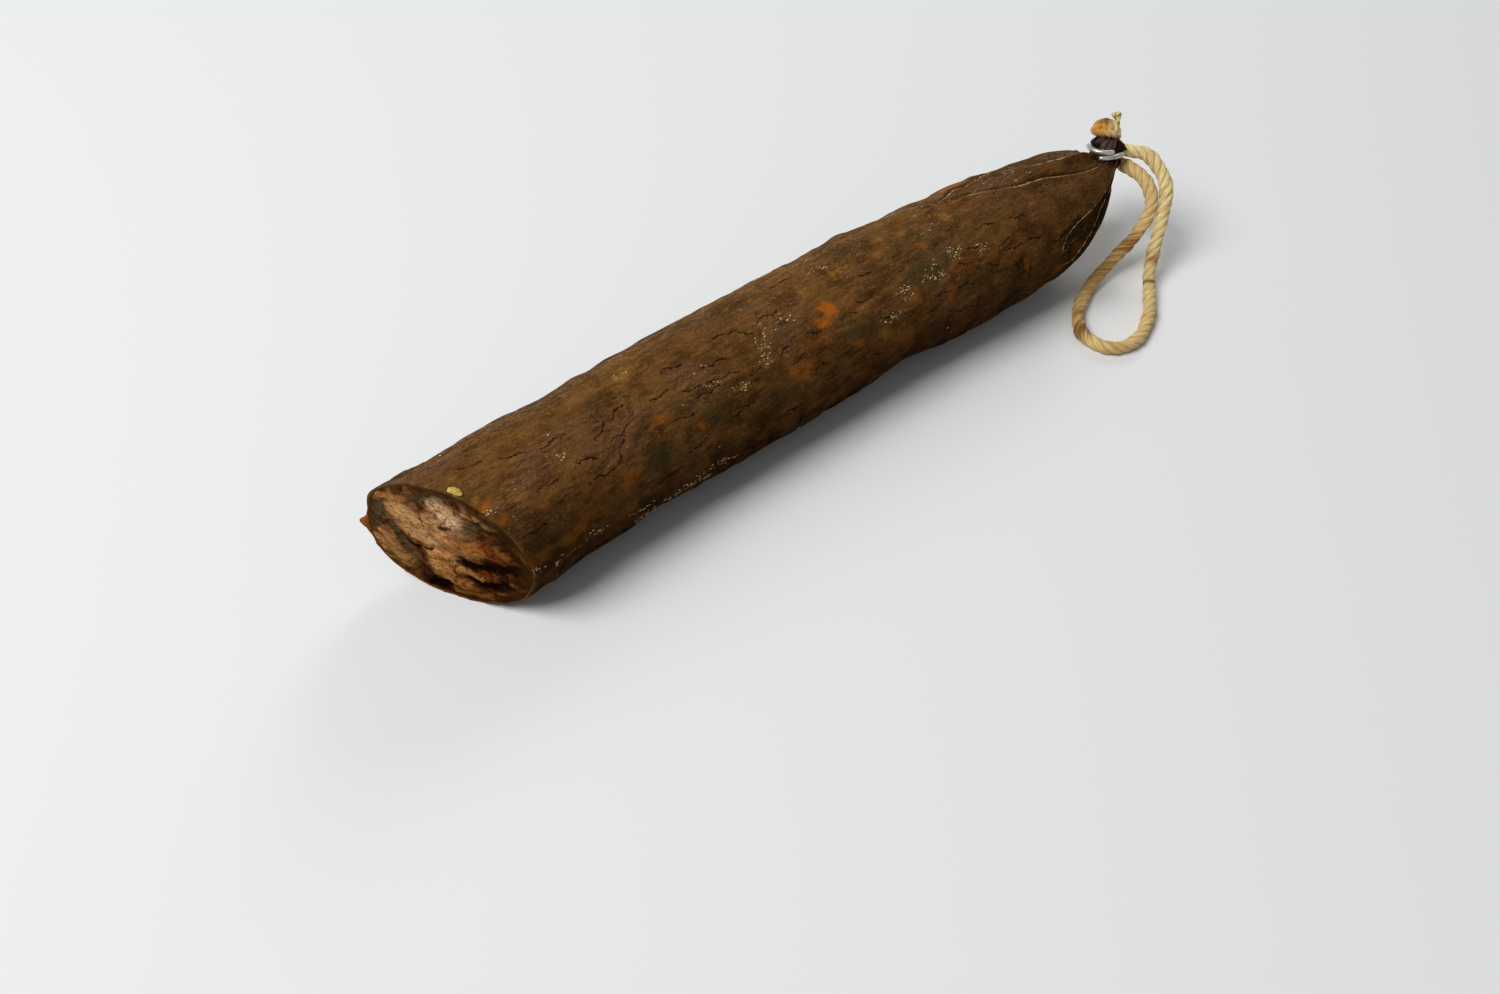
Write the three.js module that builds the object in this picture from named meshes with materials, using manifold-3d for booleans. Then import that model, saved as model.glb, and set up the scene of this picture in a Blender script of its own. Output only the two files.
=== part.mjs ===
// A cut dry-cured wild boar salchichon with its wire clip and hanging loop of twine.
// Millimetres, +Z up. +X runs from the slanted cut to the gathered, clipped end.
// The origin is under the middle of the sausage, on the surface that it lies on.

import * as THREE from 'three';
import { mergeVertices } from 'three/addons/utils/BufferGeometryUtils.js';
import Module from 'manifold-3d';

const wasm = await Module();
wasm.setup();

// Driving dimensions of the sausage
const BODY_RADIUS = 29.15;
const REST_HEIGHT = 28.3;
const CASING_WALL = 0.9;
const GAP = 0.3;
const CUT_X = -163.5;
const CUT_NORMAL = new THREE.Vector3(-0.84, -0.533, 0.106).normalize();

// The body bows slightly in plan, and its clipped end lifts off the surface and turns aside
const BOW_RADIUS = 2250;
const BOW_CREST = { x: -21, y: 2 };
const LIFT_START_X = 105.3;
const LIFT_LENGTH = 67;
const LIFT_HEIGHT = 13;
const LIFT_ASIDE = 6.1;
const LIFT_POWER = 2.3;

// The rounded shoulder between the full body and the neck
const TAPER_START_X = 76.5;
const TAPER_END_X = 172.3;
const TAPER_ROUNDNESS = 3.39;
const TAPER_SLOPE = 1.175;
const NECK_RADIUS = 5.6;

// The neck bends up from the shoulder, through the clip and on into the gathered tail
const NECK_START_X = 162;
const NECK_REACH = 9.5;
const TAIL_TIP = new THREE.Vector3(176.6, 1.4, 49.4);
const CLIP_CENTRE = new THREE.Vector3(171.9, 0.3, 42.9);
const CLIP_AXIS = new THREE.Vector3(0.42, 0.3, 0.855).normalize();
const CLIP_SIDE = new THREE.Vector3(0.799, -0.601, 0);

// Each row of the neck: place along the bend, half width, half thickness
const NECK_ROWS = [
  [0.1, 9.5, 9.5],
  [0.2, 8.3, 8.3],
  [0.3, 6.9, 6.9],
  [0.4, 6.1, 6.0],
  [0.49, 5.5, 5.5],
  [0.56, 5.5, 5.4],
  [0.63, 5.4, 5.2],
  [0.7, 5.7, 4.9],
  [0.77, 7.3, 4.7],
  [0.84, 8.0, 4.1],
  [0.91, 7.6, 3.3],
  [0.965, 5.6, 2.2],
];
const TAIL_TURN = THREE.MathUtils.degToRad(15);
const STRAIGHT_FROM = 0.5;
const PLEATS_END = 0.55;

// The twine crosses the neck at its back, in a hollow pressed into the skin
const HOLLOW = { angle: 245, width: 34, depth: 2.1, from: 0.42, to: 0.84, fade: 0.08 };

// Pleats where the skin is gathered, deepest at the neck
const PLEAT_DEPTH = 0.065;
const PLEAT_START_X = 91;
const PLEAT_WAVES = [
  { count: 7, share: 1 },
  { count: 11, share: 0.5 },
];
const PLEAT_PHASE = 2;

// Lumps and dents of the filling under the skin:
// x, angle round the body in degrees, half length, half width in degrees, height
const LUMPS = [
  [-111, 31, 14, 40, -0.8],
  [-73, 31, 11, 38, 1.1],
  [-63, 211, 40, 34, 0.7],
  [-152, 211, 30, 32, 1.4],
  [-180, 14, 12, 26, -1.3],
  [-83, 211, 11, 34, -0.9],
  [-11, 211, 36, 40, 0.8],
  [36, 211, 20, 42, -1.5],
  [45, 31, 18, 40, 0.7],
  [77, 211, 12, 40, 0.7],
  [91, 31, 13, 42, 1.2],
  [116, 31, 13, 45, -1.2],
  [-41, 100, 22, 30, 0.6],
  [9, 130, 20, 26, -0.6],
  [59, 85, 18, 30, 0.6],
  [-121, 120, 20, 30, 0.5],
];
const SMOOTH_UNDERSIDE = { within: 18, beyond: 42 };
const RIPPLES = [
  { length: 41, turns: 3, phase: 0.4, height: 0.22 },
  { length: -27, turns: 5, phase: 2.1, height: 0.16 },
  { length: 63, turns: -4, phase: 4.0, height: 0.2 },
];

// Mesh fineness
const ROUND = 40;
const BODY_STEPS = 30;
const TAPER_STEPS = 15;
const SHOULDER_SHARE = 0.82;
const INNER_STEPS = 22;
const INNER_CROWDING = 1.35;
const CUT_PASSES = 6;

// Layers of the sausage: how deep each lies under the outer surface, where its rings end and its tip.
// The cavity of the skin and the filling in it draw in together and close before the neck
const OUTSIDE = { inset: 0, lastX: NECK_START_X };
const CAVITY = { inset: CASING_WALL, lastX: 158, tipX: 165 };
const FILLING = { inset: CASING_WALL + GAP, lastX: 158, tipX: 162.5 };
const DRAW_IN = { from: 131, to: 167 };
const BEFORE_CUT = -0.003;

// The cut face of the filling: rings from its rim to its middle, and its low relief
const FACE_RINGS = 5;
const FACE_SWELL = 0.7;
const FACE_RELIEF = 0.35;
const FACE_WAVES = { around: 3, outward: 5, rings: 7 };

// Round aluminium wire, closed round the neck in a little more than one turn
const WIRE = { radius: 1.05, sides: 8, steps: 52, ring: 7.3, low: 0.15, high: 2.75 };
const WIRE_TURN = { start: -118, end: 292, points: 40 };
const WIRE_BULGE = { height: 1.7, angle: 50, width: 40 };

// Twine
const TWINE_RADIUS = 2.65;
const TWINE_SIDES = 10;
const TWINE_STEPS = 66;

// Route of the hanging loop: out of the clip, round and down to the surface, along it and back up
const TWINE_ROUTE = [
  [183.4, -5.1, 42.6],
  [186.3, -11.8, 43.2],
  [186.7, -18.8, 40.9],
  [185.7, -25.1, 37.2],
  [183.2, -29.9, 32.1],
  [179.9, -33.0, 26.2],
  [176.5, -35.7, 20.2],
  [173.0, -38.6, 14.2],
  [168.7, -41.9, 9.2],
  [164.0, -46.2, 5.5],
  [159.2, -51.4, 3.6],
  [153.8, -56.5, 2.9],
  [147.8, -60.9, 2.8],
  [141.3, -64.5, 2.8],
  [134.3, -66.8, 2.8],
  [126.9, -66.9, 2.8],
  [120.5, -63.5, 2.8],
  [117.1, -57.1, 2.8],
  [117.7, -49.8, 2.8],
  [121.6, -43.5, 2.8],
  [127.2, -38.7, 2.8],
  [133.6, -34.9, 2.9],
  [140.4, -32.1, 3.5],
  [147.5, -30.2, 4.9],
  [154.4, -29.2, 7.3],
  [161.0, -28.9, 10.6],
  [167.1, -29.1, 14.8],
  [172.3, -29.1, 20.1],
  [176.3, -28.3, 26.2],
  [179.1, -25.0, 32.0],
  [180.4, -18.8, 35.8],
  [180.8, -11.5, 37.0],
  [180.7, -4.2, 36.4],
];

// Knot beyond the tail, in the clip's own frame: x right, y to the back, z along the neck
const KNOT_CENTRE = new THREE.Vector3(-1.5, 2.0, 11.6);
const KNOT_HALF = new THREE.Vector3(6.1, 4.4, 3.6);
const KNOT_GROOVE = { direction: new THREE.Vector3(0.7, 0, 0.7), offset: 0.15, width: 0.22, depth: 0.14 };
const STRAND_RADIUS = 1.1;
const STRAND_SIDES = 8;
const PINCHED_RADIUS = 1.5;
const TUFT_STEPS = 6;
const TIE_STEPS = 12;
const TUFT_STRANDS = [
  [[1.6, 1.6, 12.2], [1.6, 1.2, 14.8], [0.4, 0.8, 17.0]],
  [[2.0, 1.8, 12.2], [2.8, 1.6, 15.2], [3.4, 1.2, 18.0]],
];
const TIE_ROUTES = [
  [[-1.2, 4.2, 10.6], [0.8, 6.5, 7.4], [2.8, 6.2, 4.4], [3.8, 4.6, 1.8], [3.8, 4.5, -1.4],
    [4.4, 5.2, -3.4], [6.2, 6.6, -4.2], [8.2, 6.8, -3.8], [9.7, 5.6, -3.3]],
  [[-0.2, 4.0, 11.4], [3.8, 6.3, 8.0], [7.4, 6.0, 5.2], [9.6, 4.2, 3.6], [11.5, 2.8, 3.0]],
];

const UP = new THREE.Vector3(0, 0, 1);

// Shapes of the sausage

function smooth(edge0, edge1, value) {
  const t = THREE.MathUtils.clamp((value - edge0) / (edge1 - edge0), 0, 1);
  return t * t * (3 - 2 * t);
}

function degreesBetween(a, b) {
  return THREE.MathUtils.euclideanModulo(a - b + 180, 360) - 180;
}

function bell(distance) {
  return Math.exp(-distance * distance);
}

function lift(x) {
  const t = Math.max(0, (x - LIFT_START_X) / LIFT_LENGTH);
  return Math.pow(t, LIFT_POWER);
}

function spine(x) {
  const bow = (x - BOW_CREST.x) ** 2 / (2 * BOW_RADIUS);
  const y = BOW_CREST.y - bow + LIFT_ASIDE * lift(x);
  return new THREE.Vector3(x, y, REST_HEIGHT + LIFT_HEIGHT * lift(x));
}

function ringAxes(tangent) {
  const side = UP.clone().cross(tangent).normalize();
  const over = tangent.clone().cross(side);
  return { side, over };
}

function spineTangent(x) {
  return spine(x + 0.5).sub(spine(x - 0.5)).normalize();
}

function plainRadius(x) {
  const t = THREE.MathUtils.clamp((x - TAPER_START_X) / (TAPER_END_X - TAPER_START_X), 0, 1);
  const fullness = Math.pow(1 - Math.pow(t, TAPER_ROUNDNESS), TAPER_SLOPE);
  return NECK_RADIUS + (BODY_RADIUS - NECK_RADIUS) * fullness;
}

function pleats(x, angle) {
  const depth = PLEAT_DEPTH * smooth(PLEAT_START_X, NECK_START_X, x);
  let fold = 0;
  for (const wave of PLEAT_WAVES) {
    fold += wave.share * Math.cos(wave.count * angle + PLEAT_PHASE);
  }
  return 1 + depth * fold;
}

// Relief is left off the underside, where the weight has pressed the sausage flat
function relief(x, angle) {
  const degrees = THREE.MathUtils.radToDeg(angle);
  let height = 0;
  for (const [at, around, length, width, rise] of LUMPS) {
    height += rise * bell((x - at) / length) * bell(degreesBetween(degrees, around) / width);
  }
  for (const wave of RIPPLES) {
    height += wave.height * Math.sin((2 * Math.PI * x) / wave.length + wave.turns * angle + wave.phase);
  }
  const fromBottom = Math.abs(degreesBetween(degrees, 270));
  const clearOfFloor = smooth(SMOOTH_UNDERSIDE.within, SMOOTH_UNDERSIDE.beyond, fromBottom);
  return height * clearOfFloor * smooth(NECK_START_X, TAPER_START_X, x);
}

// A point of the body surface, or of a surface that lies inset under it
function bodyPoint(x, angle, layer) {
  const { side, over } = ringAxes(spineTangent(x));
  let radius = plainRadius(x) * pleats(x, angle) + relief(x, angle);
  if (layer.inset > 0) {
    const closing = Math.max(0, (x - DRAW_IN.from) / (DRAW_IN.to - DRAW_IN.from));
    radius = radius * Math.sqrt(1 - closing ** 4) - layer.inset;
  }
  const point = spine(x);
  point.addScaledVector(side, radius * Math.cos(angle));
  point.addScaledVector(over, radius * Math.sin(angle));
  point.z = Math.max(point.z, layer.inset);
  return point;
}

// Where the slanted cut crosses the line that runs along the body at one angle
function cutStation(angle, layer) {
  const middle = spine(CUT_X);
  let x = CUT_X;
  for (let pass = 0; pass < CUT_PASSES; pass += 1) {
    const off = bodyPoint(x, angle, layer).sub(middle).dot(CUT_NORMAL);
    x -= off / CUT_NORMAL.x;
  }
  return x;
}

function ringOf(pointAt) {
  const ring = [];
  for (let i = 0; i < ROUND; i += 1) {
    ring.push(pointAt(((i + 0.5) * 2 * Math.PI) / ROUND));
  }
  return ring;
}

function bodyRing(fraction, layer) {
  return ringOf((angle) => {
    const start = cutStation(angle, layer);
    return bodyPoint(THREE.MathUtils.lerp(start, layer.lastX, fraction), angle, layer);
  });
}

// Rings of an inner layer, closer together towards its narrow end
function innerRings(layer) {
  const rings = [];
  for (let i = 0; i <= INNER_STEPS; i += 1) {
    rings.push(bodyRing(1 - (1 - i / INNER_STEPS) ** INNER_CROWDING, layer));
  }
  return rings;
}

// Rows lie closer together on the shoulder than along the body
function rowFractions() {
  const fractions = [];
  for (let i = 0; i < BODY_STEPS; i += 1) {
    fractions.push((SHOULDER_SHARE * i) / BODY_STEPS);
  }
  for (let i = 0; i <= TAPER_STEPS; i += 1) {
    fractions.push(THREE.MathUtils.lerp(SHOULDER_SHARE, 1, i / TAPER_STEPS));
  }
  return fractions;
}

const neckStart = spine(NECK_START_X);
const neckCorner = neckStart.clone().addScaledVector(spineTangent(NECK_START_X), NECK_REACH);
const neckCurve = new THREE.QuadraticBezierCurve3(neckStart, neckCorner, TAIL_TIP);

function neckRing([place, halfWidth, halfThickness]) {
  const centre = neckCurve.getPoint(place);
  const axis = neckCurve.getTangent(0).lerp(CLIP_AXIS, smooth(0, STRAIGHT_FROM, place)).normalize();
  const { side, over } = ringAxes(axis);
  const begun = smooth(HOLLOW.from - HOLLOW.fade, HOLLOW.from, place);
  const inHollow = begun * smooth(HOLLOW.to + HOLLOW.fade, HOLLOW.to, place);
  return ringOf((angle) => {
    const across = halfThickness * Math.cos(angle - TAIL_TURN);
    const along = halfWidth * Math.sin(angle - TAIL_TURN);
    let radius = (halfWidth * halfThickness) / Math.hypot(across, along);
    radius *= THREE.MathUtils.lerp(pleats(NECK_START_X, angle), 1, smooth(0, PLEATS_END, place));
    const away = degreesBetween(THREE.MathUtils.radToDeg(angle), HOLLOW.angle) / HOLLOW.width;
    radius -= HOLLOW.depth * inHollow * bell(away);
    const point = centre.clone().addScaledVector(side, radius * Math.cos(angle));
    return point.addScaledVector(over, radius * Math.sin(angle));
  });
}

// A closed skin over rings of equal count, with a point at each end
function loft(startPole, rings, endPole) {
  const positions = [startPole, ...rings.flat(), endPole].flatMap((point) => point.toArray());
  const count = rings[0].length;
  const last = 1 + rings.length * count;
  const vertex = (row, i) => 1 + row * count + (i % count);
  const index = [];
  for (let i = 0; i < count; i += 1) {
    index.push(0, vertex(0, i + 1), vertex(0, i));
    index.push(vertex(rings.length - 1, i), vertex(rings.length - 1, i + 1), last);
    for (let row = 0; row + 1 < rings.length; row += 1) {
      index.push(vertex(row, i), vertex(row, i + 1), vertex(row + 1, i));
      index.push(vertex(row, i + 1), vertex(row + 1, i + 1), vertex(row + 1, i));
    }
  }
  const geometry = new THREE.BufferGeometry();
  geometry.setAttribute('position', new THREE.Float32BufferAttribute(positions, 3));
  geometry.setIndex(index);
  geometry.computeVertexNormals();
  return geometry;
}

// The skin is the whole outer form with its cavity taken out, which opens at the cut
function casingGeometry() {
  const rings = rowFractions().map((fraction) => bodyRing(fraction, OUTSIDE));
  rings.push(...NECK_ROWS.map(neckRing));
  const whole = solidOf(loft(spine(CUT_X), rings, TAIL_TIP));
  const cavityRings = [bodyRing(BEFORE_CUT, CAVITY), ...innerRings(CAVITY).slice(1)];
  const cavity = solidOf(loft(spine(CUT_X - 1), cavityRings, spine(CAVITY.tipX)));
  return geometryOf(whole.subtract(cavity));
}

// The filling shows at the cut, with low relief on its face, and runs on to the neck
function meatGeometry() {
  const rim = bodyRing(0, FILLING);
  const middle = spine(CUT_X).addScaledVector(CUT_NORMAL, FACE_SWELL);
  const rings = [];
  for (let i = 1; i < FACE_RINGS; i += 1) {
    const reach = i / FACE_RINGS;
    rings.push(rim.map((edge, j) => {
      const angle = (j * 2 * Math.PI) / ROUND;
      const swirl = Math.sin(FACE_WAVES.around * angle + FACE_WAVES.outward * reach);
      const wave = swirl * Math.sin(FACE_WAVES.rings * reach + 1);
      const rise = (FACE_SWELL + FACE_RELIEF * wave) * (1 - reach ** 4);
      return spine(CUT_X).lerp(edge, reach).addScaledVector(CUT_NORMAL, rise);
    }));
  }
  rings.push(...innerRings(FILLING));
  return loft(middle, rings, spine(FILLING.tipX));
}

// Wire, twine and knot

function circleShape(radius, sides) {
  const corners = [];
  for (let i = 0; i < sides; i += 1) {
    const angle = ((i + 0.5) * 2 * Math.PI) / sides;
    corners.push(new THREE.Vector2(radius * Math.cos(angle), radius * Math.sin(angle)));
  }
  return new THREE.Shape(corners);
}

function tube(points, radius, sides, steps) {
  const curve = new THREE.CatmullRomCurve3(points, false, 'centripetal');
  const options = { steps, bevelEnabled: false, extrudePath: curve };
  return new THREE.ExtrudeGeometry(circleShape(radius, sides), options);
}

function vectors(list) {
  return list.map((values) => new THREE.Vector3(...values));
}

function wireGeometry() {
  const points = [];
  for (let i = 0; i <= WIRE_TURN.points; i += 1) {
    const turned = i / WIRE_TURN.points;
    const degrees = THREE.MathUtils.lerp(WIRE_TURN.start, WIRE_TURN.end, turned);
    const angle = THREE.MathUtils.degToRad(degrees);
    const nearBulge = bell(degreesBetween(degrees, WIRE_BULGE.angle) / WIRE_BULGE.width);
    const radius = WIRE.ring + WIRE_BULGE.height * nearBulge;
    const height = THREE.MathUtils.lerp(WIRE.low, WIRE.high, turned);
    points.push(new THREE.Vector3(radius * Math.cos(angle), radius * Math.sin(angle), height));
  }
  return tube(points, WIRE.radius, WIRE.sides, WIRE.steps);
}

function solidOf(geometry) {
  const bare = geometry.clone();
  bare.deleteAttribute('normal');
  bare.deleteAttribute('uv');
  const merged = mergeVertices(bare, 1e-4);
  const vertProperties = new Float32Array(merged.attributes.position.array);
  const triVerts = new Uint32Array(merged.index.array);
  return new wasm.Manifold(new wasm.Mesh({ numProp: 3, vertProperties, triVerts }));
}

function geometryOf(solid) {
  const mesh = solid.getMesh();
  const geometry = new THREE.BufferGeometry();
  geometry.setAttribute('position', new THREE.BufferAttribute(new Float32Array(mesh.vertProperties), 3));
  geometry.setIndex(new THREE.BufferAttribute(new Uint32Array(mesh.triVerts), 1));
  geometry.computeVertexNormals();
  return geometry;
}

// An overhand knot seen as a rounded lump, with a diagonal groove where the strand crosses itself
function knotBody() {
  const geometry = new THREE.SphereGeometry(1, 20, 14);
  const position = geometry.attributes.position;
  const point = new THREE.Vector3();
  for (let i = 0; i < position.count; i += 1) {
    point.fromBufferAttribute(position, i);
    const groove = bell((point.dot(KNOT_GROOVE.direction) - KNOT_GROOVE.offset) / KNOT_GROOVE.width);
    point.multiply(KNOT_HALF).multiplyScalar(1 - KNOT_GROOVE.depth * groove);
    point.add(KNOT_CENTRE);
    position.setXYZ(i, point.x, point.y, point.z);
  }
  return geometry;
}

function knotGeometry() {
  let knot = solidOf(knotBody());
  for (const route of TUFT_STRANDS) {
    knot = knot.add(solidOf(tube(vectors(route), STRAND_RADIUS, STRAND_SIDES, TUFT_STEPS)));
  }
  for (const route of TIE_ROUTES) {
    knot = knot.add(solidOf(tube(vectors(route), PINCHED_RADIUS, STRAND_SIDES, TIE_STEPS)));
  }
  return geometryOf(knot);
}

// Assembly

function piece(name, geometry, colour, roughness, metalness) {
  const material = new THREE.MeshStandardMaterial({ color: colour, roughness, metalness });
  const mesh = new THREE.Mesh(geometry, material);
  mesh.name = name;
  return mesh;
}

const clipFrame = new THREE.Group();
const clipRight = CLIP_SIDE.clone().addScaledVector(CLIP_AXIS, -CLIP_SIDE.dot(CLIP_AXIS)).normalize();
const clipBack = CLIP_AXIS.clone().cross(clipRight);
clipFrame.quaternion.setFromRotationMatrix(new THREE.Matrix4().makeBasis(clipRight, clipBack, CLIP_AXIS));
clipFrame.position.copy(CLIP_CENTRE);
clipFrame.add(piece('wire_clip', wireGeometry(), 0xb9bcbe, 0.35, 1));
clipFrame.add(piece('twine_knot', knotGeometry(), 0xbf9455, 0.9, 0));

const twine = tube(vectors(TWINE_ROUTE), TWINE_RADIUS, TWINE_SIDES, TWINE_STEPS);

const group = new THREE.Group();
group.add(piece('casing', casingGeometry(), 0x46301f, 0.5, 0));
group.add(piece('meat', meatGeometry(), 0x8c5a43, 0.6, 0));
group.add(clipFrame);
group.add(piece('twine_loop', twine, 0xc4a06a, 0.9, 0));

export default group;
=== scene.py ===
import math
import random

import bpy
import numpy as np
from mathutils import Matrix, Vector, noise


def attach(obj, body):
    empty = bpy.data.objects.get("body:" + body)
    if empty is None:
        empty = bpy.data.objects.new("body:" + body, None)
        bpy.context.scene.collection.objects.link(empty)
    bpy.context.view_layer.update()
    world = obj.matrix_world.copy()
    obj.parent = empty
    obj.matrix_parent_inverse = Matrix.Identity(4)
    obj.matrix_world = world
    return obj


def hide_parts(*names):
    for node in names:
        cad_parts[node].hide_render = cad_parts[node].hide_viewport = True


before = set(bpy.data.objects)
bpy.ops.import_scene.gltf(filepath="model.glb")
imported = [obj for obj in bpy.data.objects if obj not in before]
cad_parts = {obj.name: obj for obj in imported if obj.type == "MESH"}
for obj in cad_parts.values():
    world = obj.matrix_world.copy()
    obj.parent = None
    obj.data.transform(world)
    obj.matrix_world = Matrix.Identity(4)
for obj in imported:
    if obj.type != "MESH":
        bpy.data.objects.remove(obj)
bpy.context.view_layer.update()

# Camera: it looks down on the sausage from beside the slanted cut, along its length
bpy.context.scene.view_settings.view_transform = "Standard"
camera_data = bpy.data.cameras.new("camera")
camera_data.sensor_width = 36
camera_data.lens = 27.36
camera = bpy.data.objects.new("camera", camera_data)
camera_right = Vector((0.799, -0.60133, 0))
camera_up = Vector((0.4798, 0.6375, 0.6028))
camera_back = camera_right.cross(camera_up).normalized()
camera.matrix_world = Matrix.Translation((-0.21513, -0.24917, 0.35879)) @ Matrix(
    (camera_right, camera_up, camera_back)
).transposed().to_4x4()
bpy.context.scene.collection.objects.link(camera)
bpy.context.scene.camera = camera

# Hanging loop: soft four-strand hemp twine, about a quarter of a metre long, both ends held in the clip.
# It stands up out of the clip, falls to the surface beside the sausage and lies there in a round bight.
# Handling has stained it rusty along one leg and dark at the corner where it once was creased.
MM = 0.001
TWINE_RADIUS = 2.65
TWINE_ROUTE = np.array([
    [183.4, -5.1, 42.6], [186.3, -11.8, 43.2], [186.7, -18.8, 40.9], [185.7, -25.1, 37.2],
    [183.2, -29.9, 32.1], [179.9, -33, 26.2], [176.5, -35.7, 20.2], [173, -38.6, 14.2], [168.7, -41.9, 9.2],
    [164, -46.2, 5.5], [159.2, -51.4, 3.6], [153.8, -56.5, 2.9], [147.8, -60.9, 2.8], [141.3, -64.5, 2.8],
    [134.3, -66.8, 2.8], [126.9, -66.9, 2.8], [120.5, -63.5, 2.8], [117.1, -57.1, 2.8], [117.7, -49.8, 2.8],
    [121.6, -43.5, 2.8], [127.2, -38.7, 2.8], [133.6, -34.9, 2.9], [140.4, -32.1, 3.5], [147.5, -30.2, 4.9],
    [154.4, -29.2, 7.3], [161, -28.9, 10.6], [167.1, -29.1, 14.8], [172.3, -29.1, 20.1],
    [176.3, -28.3, 26.2], [179.1, -25, 32], [180.4, -18.8, 35.8], [180.8, -11.5, 37], [180.7, -4.2, 36.4],
])
LAY_LENGTH = 18
STRANDS = 4
STRAND_SIZE = 0.65
ROPE_AROUND = 28
LOOP_STEP = 0.55
# Each stain on the loop: distance along it, half length, strength of rust, strength of dark
TWINE_STAINS = [
    [167, 5, 0.2, 0], [182, 11, 0.35, 0], [198, 8, 0.6, 0], [141, 5, 0.8, 0.6], [150, 5, 0.5, 0.1],
    [75.5, 1.4, 0.3, 0.8], [64, 3, 0.45, 0.15], [97, 6, 0.25, 0], [124, 7, 0.3, 0], [16, 5, 0.2, 0],
]
# Each crease: distance along the loop, half length, height, and the way it sticks out
TWINE_CREASES = [
    [139.5, 3.2, 1.1, (-0.75, 0.45, 0.1)], [60, 3, 0.9, (-0.6, 0.55, 0.2)], [92, 3, 0.5, (0.6, -0.8, 0)],
]


def ease(low, high, value):
    """A smooth step from 0 at low to 1 at high."""
    t = np.clip((value - low) / (high - low), 0, 1)
    return t * t * (3 - 2 * t)


def fade(low, high, value):
    return 1 - ease(low, high, value)


def bell(value):
    return np.exp(-np.square(value))


def unit(vectors):
    return vectors / np.linalg.norm(vectors, axis=-1, keepdims=True)


def grain(points, seed=0.0):
    """Smooth noise from about -1 to 1 at each point."""
    shift = Vector((seed * 7.31, seed * -3.17, seed * 5.53))
    flat = np.asarray(points, float).reshape(-1, 3)
    values = [noise.noise(Vector(point) + shift) for point in flat]
    return np.array(values).reshape(np.shape(points)[:-1])


def smooth_line(points, spacing):
    """Points evenly spaced on a smooth curve through the given ones, and how far along it each one is."""
    points = np.asarray(points, float)
    ends = 2 * points[[0, -1]] - points[[1, -2]]
    held = np.vstack([ends[:1], points, ends[1:]])
    t = np.linspace(0, 1, 24, endpoint=False)[:, None]
    line = []
    for a, b, c, d in zip(held, held[1:], held[2:], held[3:]):
        bend = 2 * a - 5 * b + 4 * c - d
        line.append(0.5 * (2 * b + (c - a) * t + bend * t**2 + (3 * (b - c) + d - a) * t**3))
    line = np.vstack([*line, points[-1:]])
    travelled = np.r_[0, np.cumsum(np.linalg.norm(np.diff(line, axis=0), axis=1))]
    count = max(int(round(travelled[-1] / spacing)), 2)
    at = np.linspace(0, travelled[-1], count + 1)
    return np.stack([np.interp(at, travelled, line[:, k]) for k in range(3)], 1), at


def frames_along(line):
    """Two directions across the line at each point, turned no more than the line's own bends turn them."""
    tangents = unit(np.gradient(line, axis=0))
    across = np.cross(tangents[0], (0.3, 0.2, 1.0))
    sides = []
    for tangent in tangents:
        across = unit(across - tangent * (across @ tangent))
        sides.append(across)
    sides = np.array(sides)
    return sides, np.cross(tangents, sides), tangents


def skin_faces(rows, around, first=0):
    """Quads of a tube of rings, each ring closed round."""
    row, col = np.meshgrid(np.arange(rows - 1), np.arange(around), indexing="ij")
    nxt = (col + 1) % around
    here, ahead = first + row * around, first + (row + 1) * around
    return np.stack([here + col, here + nxt, ahead + nxt, ahead + col], -1).reshape(-1, 4).tolist()


def cap_faces(first, around, pole, turned=False):
    """Triangles from a ring of points to one point."""
    pairs = [(first + i, first + (i + 1) % around) for i in range(around)]
    return [(b, a, pole) if turned else (a, b, pole) for a, b in pairs]


def closed_tube(rings, first_end, last_end):
    """Points and faces of a tube of rings that runs to a point at each end."""
    rows, around = rings.shape[:2]
    last = (rows - 1) * around
    points = np.vstack([rings.reshape(-1, 3), first_end, last_end])
    caps = cap_faces(0, around, len(points) - 2, True) + cap_faces(last, around, len(points) - 1)
    return points, skin_faces(rows, around) + caps


def round_tube(line, radii, around, end_bulge):
    """A closed tube along a line. end_bulge is how far its two end points stand out."""
    sides, overs, tangents = frames_along(line)
    theta = np.arange(around)[:, None] * 2 * np.pi / around
    spokes = np.cos(theta) * sides[:, None] + np.sin(theta) * overs[:, None]
    ends = line[0] - tangents[0] * end_bulge[0], line[-1] + tangents[-1] * end_bulge[1]
    return closed_tube(line[:, None] + radii[..., None] * spokes, *ends)


def make_piece(name, points, faces, material, masks):
    """A mesh piece in metres from points in millimetres, with its masks stored on its points."""
    mesh = bpy.data.meshes.new(name)
    mesh.from_pydata((np.asarray(points, float) * MM).tolist(), [], faces)
    mesh.polygons.foreach_set("use_smooth", np.ones(len(mesh.polygons), bool))
    for mask, values in masks.items():
        kind, field = ("FLOAT_VECTOR", "vector") if np.ndim(values) == 2 else ("FLOAT", "value")
        stored = mesh.attributes.new(mask, kind, "POINT")
        stored.data.foreach_set(field, np.asarray(values, np.float32).ravel())
    mesh.materials.append(material)
    mesh.update()
    piece = bpy.data.objects.new(name, mesh)
    bpy.context.scene.collection.objects.link(piece)
    return piece


def feed(socket, value):
    """Links an output into a socket, or sets the socket to a plain value."""
    if isinstance(value, bpy.types.NodeSocket):
        socket.node.id_data.links.new(value, socket)
    else:
        socket.default_value = value


def fill(node, **inputs):
    for key, value in inputs.items():
        feed(node.inputs[key.replace("_", " ")], value)
    return node


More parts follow.
